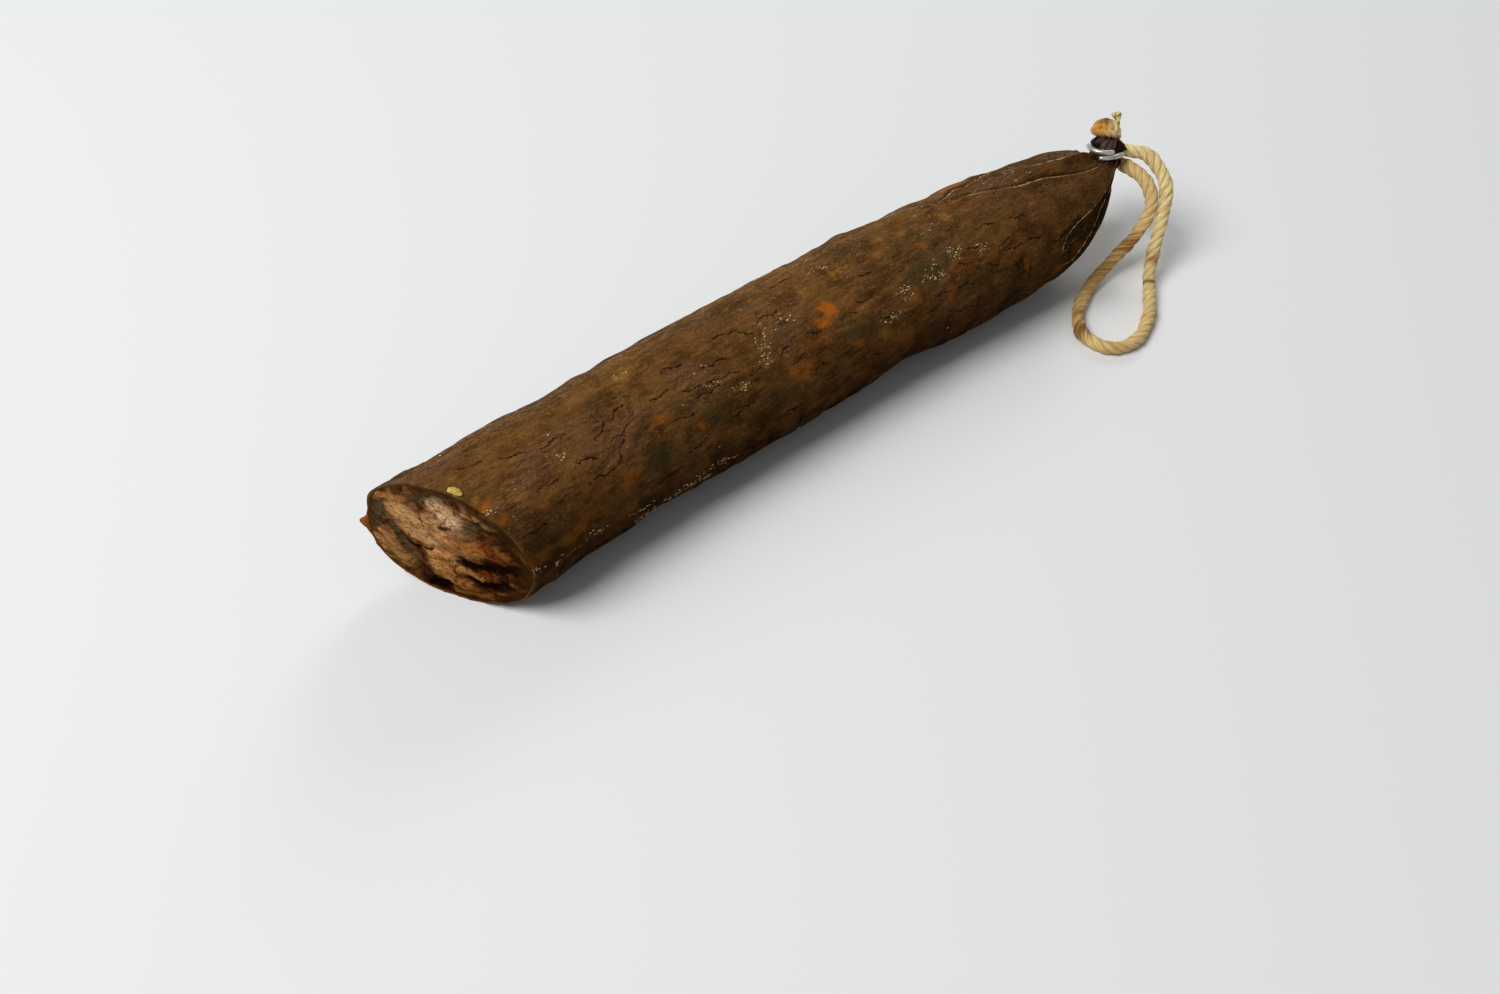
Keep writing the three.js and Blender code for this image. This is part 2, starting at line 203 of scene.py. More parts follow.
def add(tree, kind, settings=None, **inputs):
    """A shader node with its settings, its values and the links into it."""
    node = tree.nodes.new("ShaderNode" + kind)
    for key, value in (settings or {}).items():
        setattr(node, key, value)
    return fill(node, **inputs)


def maths(operation, *values):
    """The result of a Math node. One of its values at least is the output of another node."""
    linked = [value for value in values if isinstance(value, bpy.types.NodeSocket)]
    node = add(linked[0].node.id_data, "Math", {"operation": operation})
    for socket, value in zip(node.inputs, values):
        feed(socket, value)
    return node.outputs[0]


def times(first, *others):
    for other in others:
        first = maths("MULTIPLY", first, other)
    return first


def blend(factor, low, high, mode="MIX"):
    """The result of mixing two colours."""
    node = add(factor.node.id_data, "Mix", {"data_type": "RGBA", "blend_type": mode})
    feed(node.inputs[0], factor)
    for index, colour in ((6, low), (7, high)):
        feed(node.inputs[index], colour if isinstance(colour, bpy.types.NodeSocket) else (*colour, 1))
    return node.outputs[2]


def between(value, low, high, start=0.0, end=1.0):
    """A value spread smoothly from low..high to start..end."""
    node = add(value.node.id_data, "MapRange", {"interpolation_type": "SMOOTHSTEP"}, Value=value)
    return fill(node, From_Min=low, From_Max=high, To_Min=start, To_Max=end).outputs[0]


def layered(colour, layers):
    """Colours laid over one another. Each layer: a value, low, high, its cover at low and at high, tint."""
    for value, low, high, start, end, laid in layers:
        colour = blend(between(value, low, high, start, end), colour, laid)
    return colour


def clouds_at(place, scale, detail=2.0, roughness=0.5, distortion=0.0):
    """Outputs of a noise texture: its value first, then its colour."""
    node = add(place.node.id_data, "TexNoise", Vector=place, Scale=scale, Detail=detail, Roughness=roughness)
    return fill(node, Distortion=distortion).outputs


def stretched(place, *scale):
    return add(place.node.id_data, "Mapping", Vector=place, Scale=scale).outputs[0]


def bumped(height, strength, distance):
    return add(height.node.id_data, "Bump", Strength=strength, Distance=distance, Height=height).outputs[0]


def mask_of(tree, name, output="Fac"):
    return add(tree, "Attribute", {"attribute_name": name}).outputs[output]


def new_material(name):
    material = bpy.data.materials.new(name)
    material.use_nodes = True
    return material, material.node_tree, material.node_tree.nodes["Principled BSDF"]


# Hemp: pale straw fibres that follow the twist, with darker ones among them. The masks hold the stains, and
# painted shade in the grooves between the strands
hemp, tree, shader = new_material("hemp twine")
fibre_place = mask_of(tree, "fibre", "Vector")
fine = clouds_at(fibre_place, 1, 4, 0.65)[0]
broad = clouds_at(fibre_place, 0.23)[0]
straw = blend(between(fine, 0.36, 0.62), (0.4, 0.235, 0.07), (0.98, 0.81, 0.38))
straw = layered(straw, [
    (broad, 0.38, 0.66, 0, 0.6, (0.9, 0.75, 0.36)),
    # Painted shade in the grooves between the strands
    (mask_of(tree, "hollow"), 0.1, 1.1, 0, 0.48, (0.24, 0.13, 0.035)),
])
straw = blend(mask_of(tree, "amber"), straw, (0.62, 0.27, 0.035))
rusty = times(mask_of(tree, "rust"), between(broad, 0.36, 0.6, 0.15, 1.5), 1.25)
straw = blend(maths("MINIMUM", rusty, 0.9), straw, (0.31, 0.115, 0.016))
soiled = times(mask_of(tree, "dark"), between(fine, 0.3, 0.6, 0.5, 1.1))
straw = blend(maths("MINIMUM", soiled, 0.92), straw, (0.055, 0.022, 0.009))
fill(
    shader, Base_Color=straw, Roughness=0.85, Specular_IOR_Level=0.12, Sheen_Weight=0.15,
    Normal=bumped(fine, 0.55, 0.00035),
)


def rope(line, at, radii, strands, lay, seed=1.0):
    """Points, faces, fibre places and groove mask of a twisted rope along a line, closed at both ends. The
    groove mask is painted shade.
    """
    theta = np.arange(ROPE_AROUND) * 2 * np.pi / ROPE_AROUND
    spin = theta - (2 * np.pi * at / lay)[:, None]
    phase = spin * strands
    off = np.abs((phase + np.pi) % (2 * np.pi) - np.pi) / strands
    reach = 1 - STRAND_SIZE
    lobes = reach * np.cos(off) + np.sqrt(STRAND_SIZE**2 - (reach * np.sin(off)) ** 2)
    uneven = grain(np.stack([at / 9, 0 * at, 0 * at], 1), seed)
    fatter = 1 + 0.07 * np.sin(np.round(phase / (2 * np.pi)) * 2.4 + at[:, None] / 7 + seed)
    radius = radii[:, None] * lobes * fatter * (1 + 0.05 * uneven[:, None])
    points, faces = round_tube(line, radius, ROPE_AROUND, 0.3 * radii[[0, -1]])
    ring = np.stack([np.broadcast_to(at[:, None] / 3.2, spin.shape), np.cos(spin) * 9, np.sin(spin) * 9], -1)
    valley = fade(0.85, 0.97, lobes)
    return points, faces, np.vstack([ring.reshape(-1, 3), ring[[0, -1], 0]]), np.r_[valley.ravel(), 0, 0]


tucked_in = np.array([[179.6, 0.6, 42.3], [181.5, -2.0, 42.4]])
tucked_out = np.array([[180.6, 0.2, 36.6]])
loop_line, loop_at = smooth_line(np.vstack([tucked_in, TWINE_ROUTE, tucked_out]), LOOP_STEP)
loop_length = loop_at[-1]
to_end = loop_length - loop_at
loop_radii = 1.08 * TWINE_RADIUS * (0.62 + 0.38 * ease(0, 7, loop_at) * ease(0, 6, to_end))
loop_radii = loop_radii * (1 + 0.09 * bell((loop_at - 18) / 20) + 0.09 * bell((to_end - 16) / 16))
points, faces, fibre, hollows = rope(loop_line, loop_at, loop_radii, STRANDS, LAY_LENGTH)
along = np.r_[np.repeat(loop_at, ROPE_AROUND), loop_at[[0, -1]]]
rust_mask = 0.12 * ease(35, 80, along)
amber_mask = 0.2 * ease(50, 110, along) + 0.3 * bell((along - 178) / 14)
dark_mask = np.zeros(len(points))
for place, half, rust, dark in TWINE_STAINS:
    rust_mask = np.maximum(rust_mask, rust * bell((along - place) / half))
    dark_mask = np.maximum(dark_mask, dark * bell((along - place) / (half * 0.8)))
outward = points - np.vstack([np.repeat(loop_line, ROPE_AROUND, axis=0), loop_line[[0, -1]]])
outward /= np.maximum(np.linalg.norm(outward, axis=1, keepdims=True), 1e-6)
for place, half, height, way in TWINE_CREASES:
    faced = np.clip(outward @ np.array(way), 0, 1) ** 2
    points = points + outward * (height * bell((along - place) / half) * faced)[:, None]
    dark_mask = np.maximum(dark_mask, 0.5 * bell((along - place) / half) * faced)
points[:, 2] = np.maximum(points[:, 2], 0.05)
twine_loop = make_piece("hanging_loop", points, faces, hemp, {
    "fibre": fibre, "hollow": hollows, "rust": rust_mask, "dark": dark_mask, "amber": amber_mask,
})

# Loose fibres that stand off the twine, each a hair of hemp a few millimetres long and bent.
# They worked loose as the twine was spun and handled, and are still held in it by one end.
HAIRS = 170
HAIR_RADIUS = 0.06
HAIR_RINGS = 5
HAIR_CORNERS = [0, 2 * math.pi / 3, 4 * math.pi / 3]


def hair_ring(middle, across, over, radius):
    """Three points round the middle of a hair."""
    return [middle + radius * (across * math.cos(turn) + over * math.sin(turn)) for turn in HAIR_CORNERS]


def hair_faces_from(first, rings):
    """Faces of a three-sided hair whose points start at first."""
    last = first + 3 * rings - 1
    return skin_faces(rings, 3, first) + [(first + 2, first + 1, first), (last - 2, last - 1, last)]


draw = random.Random(11)
hair_points, hair_faces = [], []
sides, overs, tangents = frames_along(loop_line)
for hair in range(HAIRS):
    row = draw.randrange(12, len(loop_line) - 12)
    angle = draw.uniform(0, 2 * math.pi)
    out = sides[row] * math.cos(angle) + overs[row] * math.sin(angle)
    run = tangents[row] * draw.choice((-1, 1))
    length = draw.uniform(1.4, 3.8)
    lift_off = draw.uniform(0.25, 0.75)
    across = np.cross(run, out)
    swerve = across * draw.uniform(-0.5, 0.5)
    base = loop_line[row] + out * loop_radii[row] * 0.9
    hair_faces += hair_faces_from(len(hair_points), HAIR_RINGS)
    for t in np.linspace(0, 1, HAIR_RINGS):
        middle = base + length * (run * t * (1 - 0.3 * t) + out * lift_off * t**1.4 + swerve * t * t)
        hair_points += hair_ring(middle, out, across, HAIR_RADIUS * (1 - 0.75 * t))
hair_points = np.array(hair_points)
hair_points[:, 2] = np.maximum(hair_points[:, 2], 0.03)
loop_fuzz = make_piece("loop_fuzz", hair_points, hair_faces, hemp, {
    "fibre": hair_points * 0.2, "rust": np.full(len(hair_points), 0.05),
})
for piece in (twine_loop, loop_fuzz):
    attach(piece, "root")
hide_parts("twine_loop")

# Form of the sausage, in millimetres, as filled and dried: a bowed round body pressed flat underneath,
# a rounded shoulder, and a neck that turns up through the clip into the gathered tail
BODY_RADIUS = 29.15
REST_HEIGHT = 28.3
SKIN = 0.6
CUT_X = -163.5
CUT_NORMAL = unit(np.array([-0.84, -0.533, 0.106]))
# The body bows sideways in a wide arc. Its tail end rises and turns aside, and its shoulder closes in
BOW_RADIUS = 2250
BOW_CREST = (-21, 2.0)
LIFT = {"start": 105.3, "length": 67, "height": 13, "aside": 6.1, "power": 2.3}
TAPER = {"start": 76.5, "end": 172.3, "roundness": 3.39, "slope": 1.175}
NECK_RADIUS = 5.6
NECK_START = 162
NECK_REACH = 9.5
TAIL_TIP = np.array([176.6, 1.4, 49.4])
CLIP_CENTRE = np.array([171.9, 0.3, 42.9])
CLIP_AXIS = unit(np.array([0.42, 0.3, 0.855]))
CLIP_SIDE = np.array([0.799, -0.601, 0.0])
clip_right = unit(CLIP_SIDE - CLIP_AXIS * (CLIP_SIDE @ CLIP_AXIS))
clip_frame = np.stack([clip_right, np.cross(CLIP_AXIS, clip_right), CLIP_AXIS])
# Each row of the neck: place along the bend, half width, half thickness
NECK_ROWS = np.array([
    [0, 11.5, 11.5], [0.1, 10.2, 10.2], [0.2, 9.3, 9.3], [0.3, 8.3, 8.3], [0.38, 7.5, 7.4],
    [0.44, 6.8, 6.7], [0.49, 5.9, 5.9], [0.56, 5.4, 5.4], [0.63, 5.3, 5.1], [0.7, 5.7, 4.9],
    [0.77, 7.2, 4.7], [0.84, 8, 4.3], [0.91, 7.8, 3.9], [0.965, 7, 3.3], [1, 5.4, 2.4],
])
TAIL_TURN = math.radians(15)
# The hollow of the neck beside the clip: angle and half width in degrees, depth, and place along the bend
HOLLOW = {"angle": 245, "width": 34, "depth": 2.1, "from": 0.42, "to": 0.84, "fade": 0.08}
# Each bulge of skin squeezed out under the clip: angle, half width (degrees), height, from, full, fades, to
SQUEEZED = [[195, 30, 3.2, 0.3, 0.52, 0.55, 0.6], [48, 40, 2.5, 0.0, 0.3, 0.6, 0.72]]
# Each lump or dent: x, angle round the body in degrees, half length, half width in degrees, height
LUMPS = [
    [-111, 31, 14, 40, -0.8], [-73, 31, 11, 38, 1.1], [-63, 211, 40, 34, 0.7], [-152, 211, 30, 32, 1.4],
    [-180, 14, 12, 26, -1.3], [-83, 211, 11, 34, -0.9], [-11, 211, 36, 40, 0.8], [36, 211, 20, 42, -1.5],
    [45, 31, 18, 40, 0.7], [77, 211, 12, 40, 0.7], [91, 31, 13, 42, 1.2], [116, 31, 13, 45, -1.2],
    [-41, 100, 22, 30, 0.6], [9, 130, 20, 26, -0.6], [59, 85, 18, 30, 0.6], [-121, 120, 20, 30, 0.5],
]
# Each long ripple: wave length, turns round the body, phase, height
RIPPLES = [[41, 3, 0.4, 0.22], [-27, 5, 2.1, 0.16], [63, -4, 4.0, 0.2]]


def degrees_between(a, b):
    return (a - b + 180) % 360 - 180


def near(degrees, middle, spread):
    """1 at one angle round the body, falling off smoothly to both sides of it."""
    return bell(degrees_between(degrees, middle) / spread)


def lift(x):
    """Share of the rise of the tail end that is reached at each x."""
    return np.maximum(0, (x - LIFT["start"]) / LIFT["length"]) ** LIFT["power"]


def spine(x):
    """The middle of the body at each x."""
    x = np.asarray(x, float)
    y = BOW_CREST[1] - (x - BOW_CREST[0]) ** 2 / (2 * BOW_RADIUS) + LIFT["aside"] * lift(x)
    return np.stack([x, y, REST_HEIGHT + LIFT["height"] * lift(x)], -1)


def ring_axes(tangent):
    """The two directions across a body that runs along the tangent: sideways and upwards."""
    side = unit(np.cross(np.broadcast_to([0.0, 0.0, 1.0], np.shape(tangent)), tangent))
    return side, np.cross(tangent, side)


def spine_tangent(x):
    return unit(spine(np.asarray(x) + 0.5) - spine(np.asarray(x) - 0.5))


def plain_radius(x):
    """Radius of the body before its lumps and pleats."""
    t = np.clip((x - TAPER["start"]) / (TAPER["end"] - TAPER["start"]), 0, 1)
    return NECK_RADIUS + (BODY_RADIUS - NECK_RADIUS) * (1 - t ** TAPER["roundness"]) ** TAPER["slope"]


def pleats(x, angle):
    """The radius of the gathered skin at each angle, as a share of the plain radius."""
    depth = 0.065 * ease(91, NECK_START, x)
    return 1 + depth * (np.cos(7 * angle + 2) + 0.5 * np.cos(11 * angle + 2))


def bulges(rows, x, degrees):
    """Height of all the lumps and dents of a list."""
    height = np.zeros(np.broadcast(x, degrees).shape)
    for at, around, length, width, rise in rows:
        height = height + rise * bell((x - at) / length) * near(degrees, around, width)
    return height


def off_floor(degrees, full_from, clear_at):
    """0 along the line that the sausage lies on, 1 away from it."""
    return ease(full_from, clear_at, np.abs(degrees_between(degrees, 270)))


def big_relief(x, angle):
    """Height of the lumps, dents and ripples, which stop short of the floor and the neck."""
    degrees = np.degrees(angle)
    height = bulges(LUMPS, x, degrees)
    for length, turns, phase, rise in RIPPLES:
        height = height + rise * np.sin(2 * np.pi * x / length + turns * angle + phase)
    return height * off_floor(degrees, 18, 42) * fade(TAPER["start"], NECK_START, x)


def body_point(x, angle, inset=0.0, extra=0.0):
    """A point of the skin, or of a layer inset under it, raised by extra."""
    x, angle = np.broadcast_arrays(np.asarray(x, float), np.asarray(angle, float))
    side, over = ring_axes(spine_tangent(x))
    radius = plain_radius(x) * pleats(x, angle) + big_relief(x, angle) + extra - inset
    point = spine(x) + (radius * np.cos(angle))[..., None] * side + (radius * np.sin(angle))[..., None] * over
    point[..., 2] = np.maximum(point[..., 2], inset)
    return point


def cut_station(angle, inset=0.0):
    """Where the cut meets a line that runs along the body at this angle."""
    x = np.full(np.shape(angle), float(CUT_X))
    for _ in range(6):
        x = x - (body_point(x, angle, inset) - spine(CUT_X)) @ CUT_NORMAL / CUT_NORMAL[0]
    return x


# Skin: a natural gut casing, dried dark brown and tight over the coarse filling, so that it shows every lump.
# It is one tube, sliced off at the cut, wrinkled and cracked lengthwise, and gathered up at the clip.
AROUND = 216
BODY_ROWS = 372
NECK_STEPS = 50
LINER_ROWS = 10
LINER_DEPTH = 26
BODY_START = -170
# Folds that start beyond this x run on over the neck
ON_NECK = 155
# How far to each side a mask reaches: that of a fold in widths of the fold, that of a crack in mm
FOLD_LIMIT = 4.0
CRACK_LIMIT = 3.0
# The shred of skin that the knife tore up: angle, half width (degrees), height, how far it hangs out
SHRED = {"angle": -5, "half_width": 7, "height": 5.0, "out": 1.8, "rows": 8}
# Each small swelling or hollow of the skin: x, angle, half length, half width in degrees, height
SWELLINGS = [
    [-86, 35, 5, 34, -1.2], [-69, 35, 7, 34, -1.2], [79, 35, 8, 34, -1.3], [31, 35, 6, 30, 1.1],
    [-25, 35, 12, 28, 0.7], [150, 50, 10, 26, 1.2], [148, 163, 9, 7, -1.5], [130, 159, 7, 5, -0.9],
    [152, 178, 8, 6, 0.8], [95, 158, 2.8, 7, -1.6], [-60, 150, 9, 20, 0.6], [-84, 150, 6, 16, -0.7],
    [-10, 135, 9, 18, 0.5], [52, 130, 10, 18, 0.6],
]
# Each fold: its width, its height, the side of its furrow (1 or -1), and where it runs, as x and degrees
FOLDS = [
    [1.3, 1.6, -1, [(160, 83), (144, 86), (128, 83), (121, 72), (109, 65), (99, 70), (89, 71)]],
    [0.9, 0.88, -1, [(160, 118), (152, 111), (141, 104), (127, 98), (111, 96), (101, 92), (93, 88),
        (86, 83), (76, 80)]],
    [1, 1.2, -1, [(92, 67), (84, 70), (73, 76), (66, 72), (60, 66), (52, 60), (38, 52), (20, 46)]],
    [0.9, 0.95, -1, [(160, 48), (143, 47), (126, 52), (114, 57), (106, 58), (96, 50)]],
    [1.3, 1.8, 1, [(162, 164), (155, 153), (148, 150), (136, 148), (125, 150), (120, 154), (118, 161),
        (119, 170)]],
    [0.6, 0.9, 1, [(133, 144), (124, 145), (117, 149), (113, 152)]],
    [0.7, 1, 1, [(139, 167), (131, 166), (124, 166), (119, 171)]],
    [1.2, 1.5, 1, [(162, 173), (155, 171), (150, 171), (143, 173), (134, 177), (126, 180), (118, 183)]],
    [1.1, 0.9, 1, [(161, 207), (146, 200), (130, 196), (112, 199)]],
    [1.1, 0.8, -1, [(160, 22), (145, 26), (126, 24), (104, 30)]],
    [1.1, 0.7, 1, [(160, 330), (142, 334), (124, 330)]],
    [1.2, 0.8, 1, [(160, 250), (143, 246), (122, 243)]], [0.9, 0.7, 1, [(99, 170), (95, 160), (92, 150)]],
    [0.8, 0.8, -1, [(44, 66), (24, 62), (6, 66), (-14, 66)]],
    [0.9, 0.85, -1, [(30, 44), (10, 50), (-17, 58), (-36, 52), (-60, 58)]],
    [0.9, 0.7, -1, [(-48, 62), (-72, 58), (-92, 66), (-110, 60)]],
    [0.5, 0.9, -1, [(-128, 66), (-140, 60), (-152, 54), (-170, 46)]],
    [0.4, 0.85, -1, [(-138, 76), (-150, 70), (-160, 64), (-172, 60)]],
    [0.8, 0.5, 1, [(-56, 184), (-72, 186), (-82, 196), (-100, 190)]],
    [0.8, 0.5, 1, [(-100, 184), (-119, 180), (-134, 186), (-146, 182)]],
    [0.9, 0.5, 1, [(60, 190), (36, 184), (14, 190), (-10, 186)]],
    [0.8, 0.7, 1, [(8, 129), (22, 127), (34, 124), (44, 116)]],
    [0.8, 0.6, 1, [(-6, 133), (4, 137), (18, 139)]],
    [0.9, 0.5, 1, [(-60, 128), (-46, 126), (-30, 131), (-12, 140)]],
    [0.9, 0.5, 1, [(-112, 142), (-98, 134), (-88, 120), (-84, 110)]],
    [0.9, 0.5, -1, [(-20, 330), (-50, 338), (-84, 332)]], [0.9, 0.5, -1, [(90, 340), (62, 346), (30, 342)]],
    [0.9, 0.5, -1, [(-110, 340), (-130, 332), (-160, 338)]],
]
# Each patch of the skin: x, angle in degrees, half length, half width (both mm), turn in degrees, strength
RUST_PATCHES = [
    [1, 117, 4.2, 3.4, 40, 1.2], [-4, 125, 4.2, 2.4, 20, 0.75], [-21, 147, 7, 4, 10, 0.55],
    [-67, 148, 2.2, 1.4, 60, 0.8], [-81, 128, 5, 2, 10, 0.55], [-99, 152, 5.4, 2.6, -20, 0.62],
    [-124, 166, 11, 3.2, -12, 0.55], [8, 152, 3, 2.2, 30, 0.6], [40, 140, 2.2, 5, 0, 0.45],
    [56, 151, 3.4, 5, 0, 0.42], [110, 110, 1.8, 1.4, 0, 0.5], [84, 132, 1.6, 1.6, 0, 0.7],
    [124, 184, 3, 2.4, 0, 0.7], [97, 122, 2.2, 1.8, 0, 0.4], [52, 106, 3.2, 1.8, 35, 0.5],
    [30, 168, 12, 4, 0, 0.3], [88, 143, 12, 2.6, 10, 0.25], [91, 54, 11, 3.2, 0, 1.15],
    [137, 180, 6, 2.2, 0, 0.8], [116, 183, 3, 2.2, 0, 1.2], [128, 174, 4, 2, 0, 0.6],
    [97, 160, 1.6, 3.4, 0, 0.6], [-58, 164, 7, 3, 0, 0.3], [12, 176, 9, 3, 0, 0.3],
    [-10, 136, 8, 2.4, 14, 0.3], [-118, 148, 8, 4, 0, 0.22], [66, 136, 7, 4, 0, 0.3],
    [-50, 84, 8, 3, 0, 0.22], [-142, 170, 8, 3, -8, 0.45], [-40, 250, 7, 4, 20, 0.5],
    [-95, 310, 6, 4, 0, 0.6], [-150, 118, 3.2, 1.5, -40, 0.9], [-147, 131, 2.6, 1.4, -40, 0.7],
    [20, 330, 8, 5, 30, 0.5], [70, 300, 6, 4, 0, 0.4], [-140, 350, 7, 4, 0, 0.4], [-10, 10, 6, 4, 10, 0.6],
    [60, 20, 5, 3, 0, 0.4], [-150, 240, 5, 3, 0, 0.4], [130, 300, 4, 3, 0, 0.4], [-178, 4, 3, 3, 0, 0.8],
]
GOLD_PATCHES = [
    [14, 92, 4.6, 1.6, 0, 0.85], [-2, 94, 2.6, 1.4, 0, 0.6], [71, 92, 3.6, 2.6, 80, 0.65],
    [50, 88, 3, 2, 0, 0.5], [34, 96, 2.4, 1.8, 0, 0.4], [21, 156, 3.4, 2.2, 0, 0.5],
    [-130, 170, 6, 2.4, -10, 0.55], [-141, 122, 4, 2.6, 0, 0.4], [-84, 140, 3, 1.6, 0, 0.35],
    [-42, 140, 7, 2, 20, 0.35], [-82, 84, 7, 2.4, 0, 0.4], [38, 143, 1.8, 5, 0, 0.35],
    [-163, 84, 4, 2, -20, 0.6], [56, 150, 2, 5, 0, 0.35], [-106, 84, 6, 3, 0, 0.2], [96, 108, 5, 3, 0, 0.2],
    [-152, 111, 2.6, 1.3, -40, 0.8], [-166, 60, 2, 3, 0, 0.5], [-60, 330, 5, 3, 0, 0.5],
    [40, 250, 5, 3, 0, 0.5], [-120, 20, 5, 3, 0, 0.5], [100, 20, 4, 3, 0, 0.4], [-110, 220, 8, 2, 0, 0.4],
]
# Olive patches. The one at x 133, 66 degrees is painted shade on top of the neck, between its top fold and
# its upper edge
OLIVE_PATCHES = [
    [-45, 66, 14, 4, 6, 0.8], [24, 78, 14, 3.6, 0, 0.6], [-27, 162, 10, 5, 10, 0.7],
    [-87, 152, 5, 6.5, 0, 1], [-72, 128, 14, 5, 10, 0.5], [11, 142, 12, 5, 15, 0.8],
    [46, 126, 11, 7, 0, 0.95], [60, 120, 6, 4.5, 0, 0.7], [-136, 160, 9, 6, 0, 0.5],
    [-104, 96, 14, 5, 0, 0.35], [-20, 118, 12, 5, 0, 0.4], [72, 150, 10, 5, 0, 0.4],
    [0, 300, 14, 7, 0, 0.7], [-70, 350, 12, 6, 0, 0.7], [60, 330, 12, 6, 0, 0.6],
    [-120, 280, 12, 7, 0, 0.7], [90, 100, 10, 4, 0, 0.35], [-152, 110, 10, 4, 0, 0.45],
    [28, 106, 9, 3, 10, 0.4], [-60, 142, 8, 5, 0, 0.6], [-168, 52, 9, 8, 0, 0.9], [133, 66, 24, 7, 0, 0.8],
    [60, 104, 26, 9, 0, 0.4], [84, 112, 20, 8, 0, 0.35], [-44, 78, 20, 6, 0, 0.4],
]
# Patches of salt specks, painted bright as glints
SALT_AND_GLINT_PATCHES = [
    [11, 82, 7.5, 1.6, 0, 0.75], [-30, 119, 3.4, 9, 30, 0.9], [-46, 137, 5, 2.6, 0, 0.85],
    [-119, 115, 2.4, 2, 20, 1.15], [-150, 122, 2.6, 1.8, 0, 0.9], [-82, 82, 6, 2, 0, 0.5],
    [64, 123, 4.6, 3.4, 0, 0.95], [51, 131, 5.6, 3.6, 0, 0.95], [36, 133, 4.6, 3.6, 0, 0.8],
    [-56, 125, 8, 2.6, 0, 0.6], [-148, 178, 6, 1.9, 0, 1], [-119, 181, 7, 1.9, 0, 1],
    [-134, 181, 6, 1.6, 0, 0.7], [-79, 195, 13, 2.8, 0, 1.3], [-95, 201, 9, 2.4, 0, 1.2],
    [-100, 186, 10, 2, 0, 0.7], [-62, 188, 8, 2.2, 0, 0.7], [76, 128, 4, 4, 0, 0.5],
    [-30, 330, 6, 4, 0, 0.8], [40, 300, 6, 4, 0, 0.8], [-100, 250, 6, 4, 0, 0.7], [-60, 20, 6, 3, 0, 0.7],
    [20, 36, 16, 1.4, 0, 0.5], [28, 146, 7, 1.8, 0, 0.6], [-16, 108, 6, 3, 40, 0.5],
    [-154, 180, 6, 2, 0, 0.6], [-66, 186, 8, 1.6, 0, 0.8],
]
# Each crack: x, angle in degrees, half length in mm, turn in degrees
CRACKS = [
    [-93, 108, 4.5, -25], [-102, 114, 5, -30], [-99, 132, 7.5, -50], [-41, 96, 5.5, 12], [-53, 124, 11, 6],
    [-61, 121, 9, 8], [-58, 128, 8, 4], [24, 106, 4, 12], [-51, 112, 7, 5], [-38, 132, 4, -10],
    [-132, 98, 6, 20], [-118, 103, 7, -8], [74, 126, 6.5, 5], [90, 140, 8, 5], [26, 144, 5, 0],
    [36, 149, 5.5, 0], [83, 114, 6, 8], [120, 96, 2.5, -5], [-76, 112, 5, 0], [-22, 100, 6, 6],
    [-128, 128, 6, 10], [-110, 140, 7, 5], [-20, 139, 5, -15], [8, 128, 5, 10], [52, 147, 6, 5],
    [-84, 170, 7, 4], [-30, 176, 8, -6], [12, 168, 7, 5], [60, 170, 9, 8], [-140, 150, 6, 0],
    [-66, 100, 5, 12], [-6, 76, 7, -4], [-100, 60, 9, 5], [100, 120, 5, 10], [-88, 100, 4, 30],
    [-146, 88, 5, 10], [44, 112, 4, 8], [70, 104, 5, 4], [-12, 152, 6, 8], [-72, 160, 7, -4],
    [95, 157, 6, 80], [99, 166, 4, 100], [93, 160, 4, 60], [87, 132, 5, -4], [79, 144, 4, 12],
    [67, 134, 6, 10], [108, 93, 3, 0], [-8, 128, 5, 14], [-24, 128, 4, -20], [-34, 104, 4, 25],
    [18, 124, 6, 5], [-96, 122, 6, -12], [-112, 126, 5, 14], [-72, 136, 5, 10], [-48, 152, 6, -6],
    [64, 150, 5, 6], [82, 152, 6, 8], [104, 142, 5, 12], [-124, 142, 6, 4], [-60, 300, 8, 5],
    [30, 320, 9, -5], [-120, 330, 8, 8], [80, 260, 7, 5], [0, 240, 8, 0], [-40, 20, 7, 6], [70, 60, 6, 4],
]


def turned_from(at, around, turn):
    """How far each point of the skin lies along and across from a mark on it, in mm."""
    u = x - at
    v = np.radians(degrees_between(degrees, around)) * BODY_RADIUS
    c, s = math.cos(math.radians(turn)), math.sin(math.radians(turn))
    return u * c + v * s, v * c - u * s


def patch_mask(patches, rough):
    """Soft oval patches on the skin, with the rough noise eating into their edges."""
    total = np.zeros(x.shape)
    for at, around, length, width, turn, strength in patches:
        lengthways, across = turned_from(at, around, turn)
        reach = np.hypot(lengthways / length, across / width)
        total = np.maximum(total, strength * fade(0.45, 1.25, reach + 0.45 * rough))
    return total


def distance_to_run(run):
    """Signed distance in mm from a line drawn on the skin, and how far along it the nearest point is."""
    u, v = x, np.radians(degrees % 360) * BODY_RADIUS
    best = np.full(np.shape(x), 1e9)
    signed = np.zeros(np.shape(x))
    share = np.zeros(np.shape(x))
    line = np.array([[px, math.radians(deg) * BODY_RADIUS] for px, deg in run])
    parts = len(line) - 1
    wrap = 2 * np.pi * BODY_RADIUS
    for i in range(parts):
        a, step = line[i], line[i + 1] - line[i]
        du = u - a[0]
        dv = (v - a[1] + wrap / 2) % wrap - wrap / 2
        t = np.clip((du * step[0] + dv * step[1]) / (step @ step), 0, 1)
        off = np.hypot(du - t * step[0], dv - t * step[1])
        nearer = off < best
        signed = np.where(nearer, np.sign(du * step[1] - dv * step[0]) * off, signed)
        share = np.where(nearer, (i + t) / parts, share)
        best = np.minimum(best, off)
    return signed, share


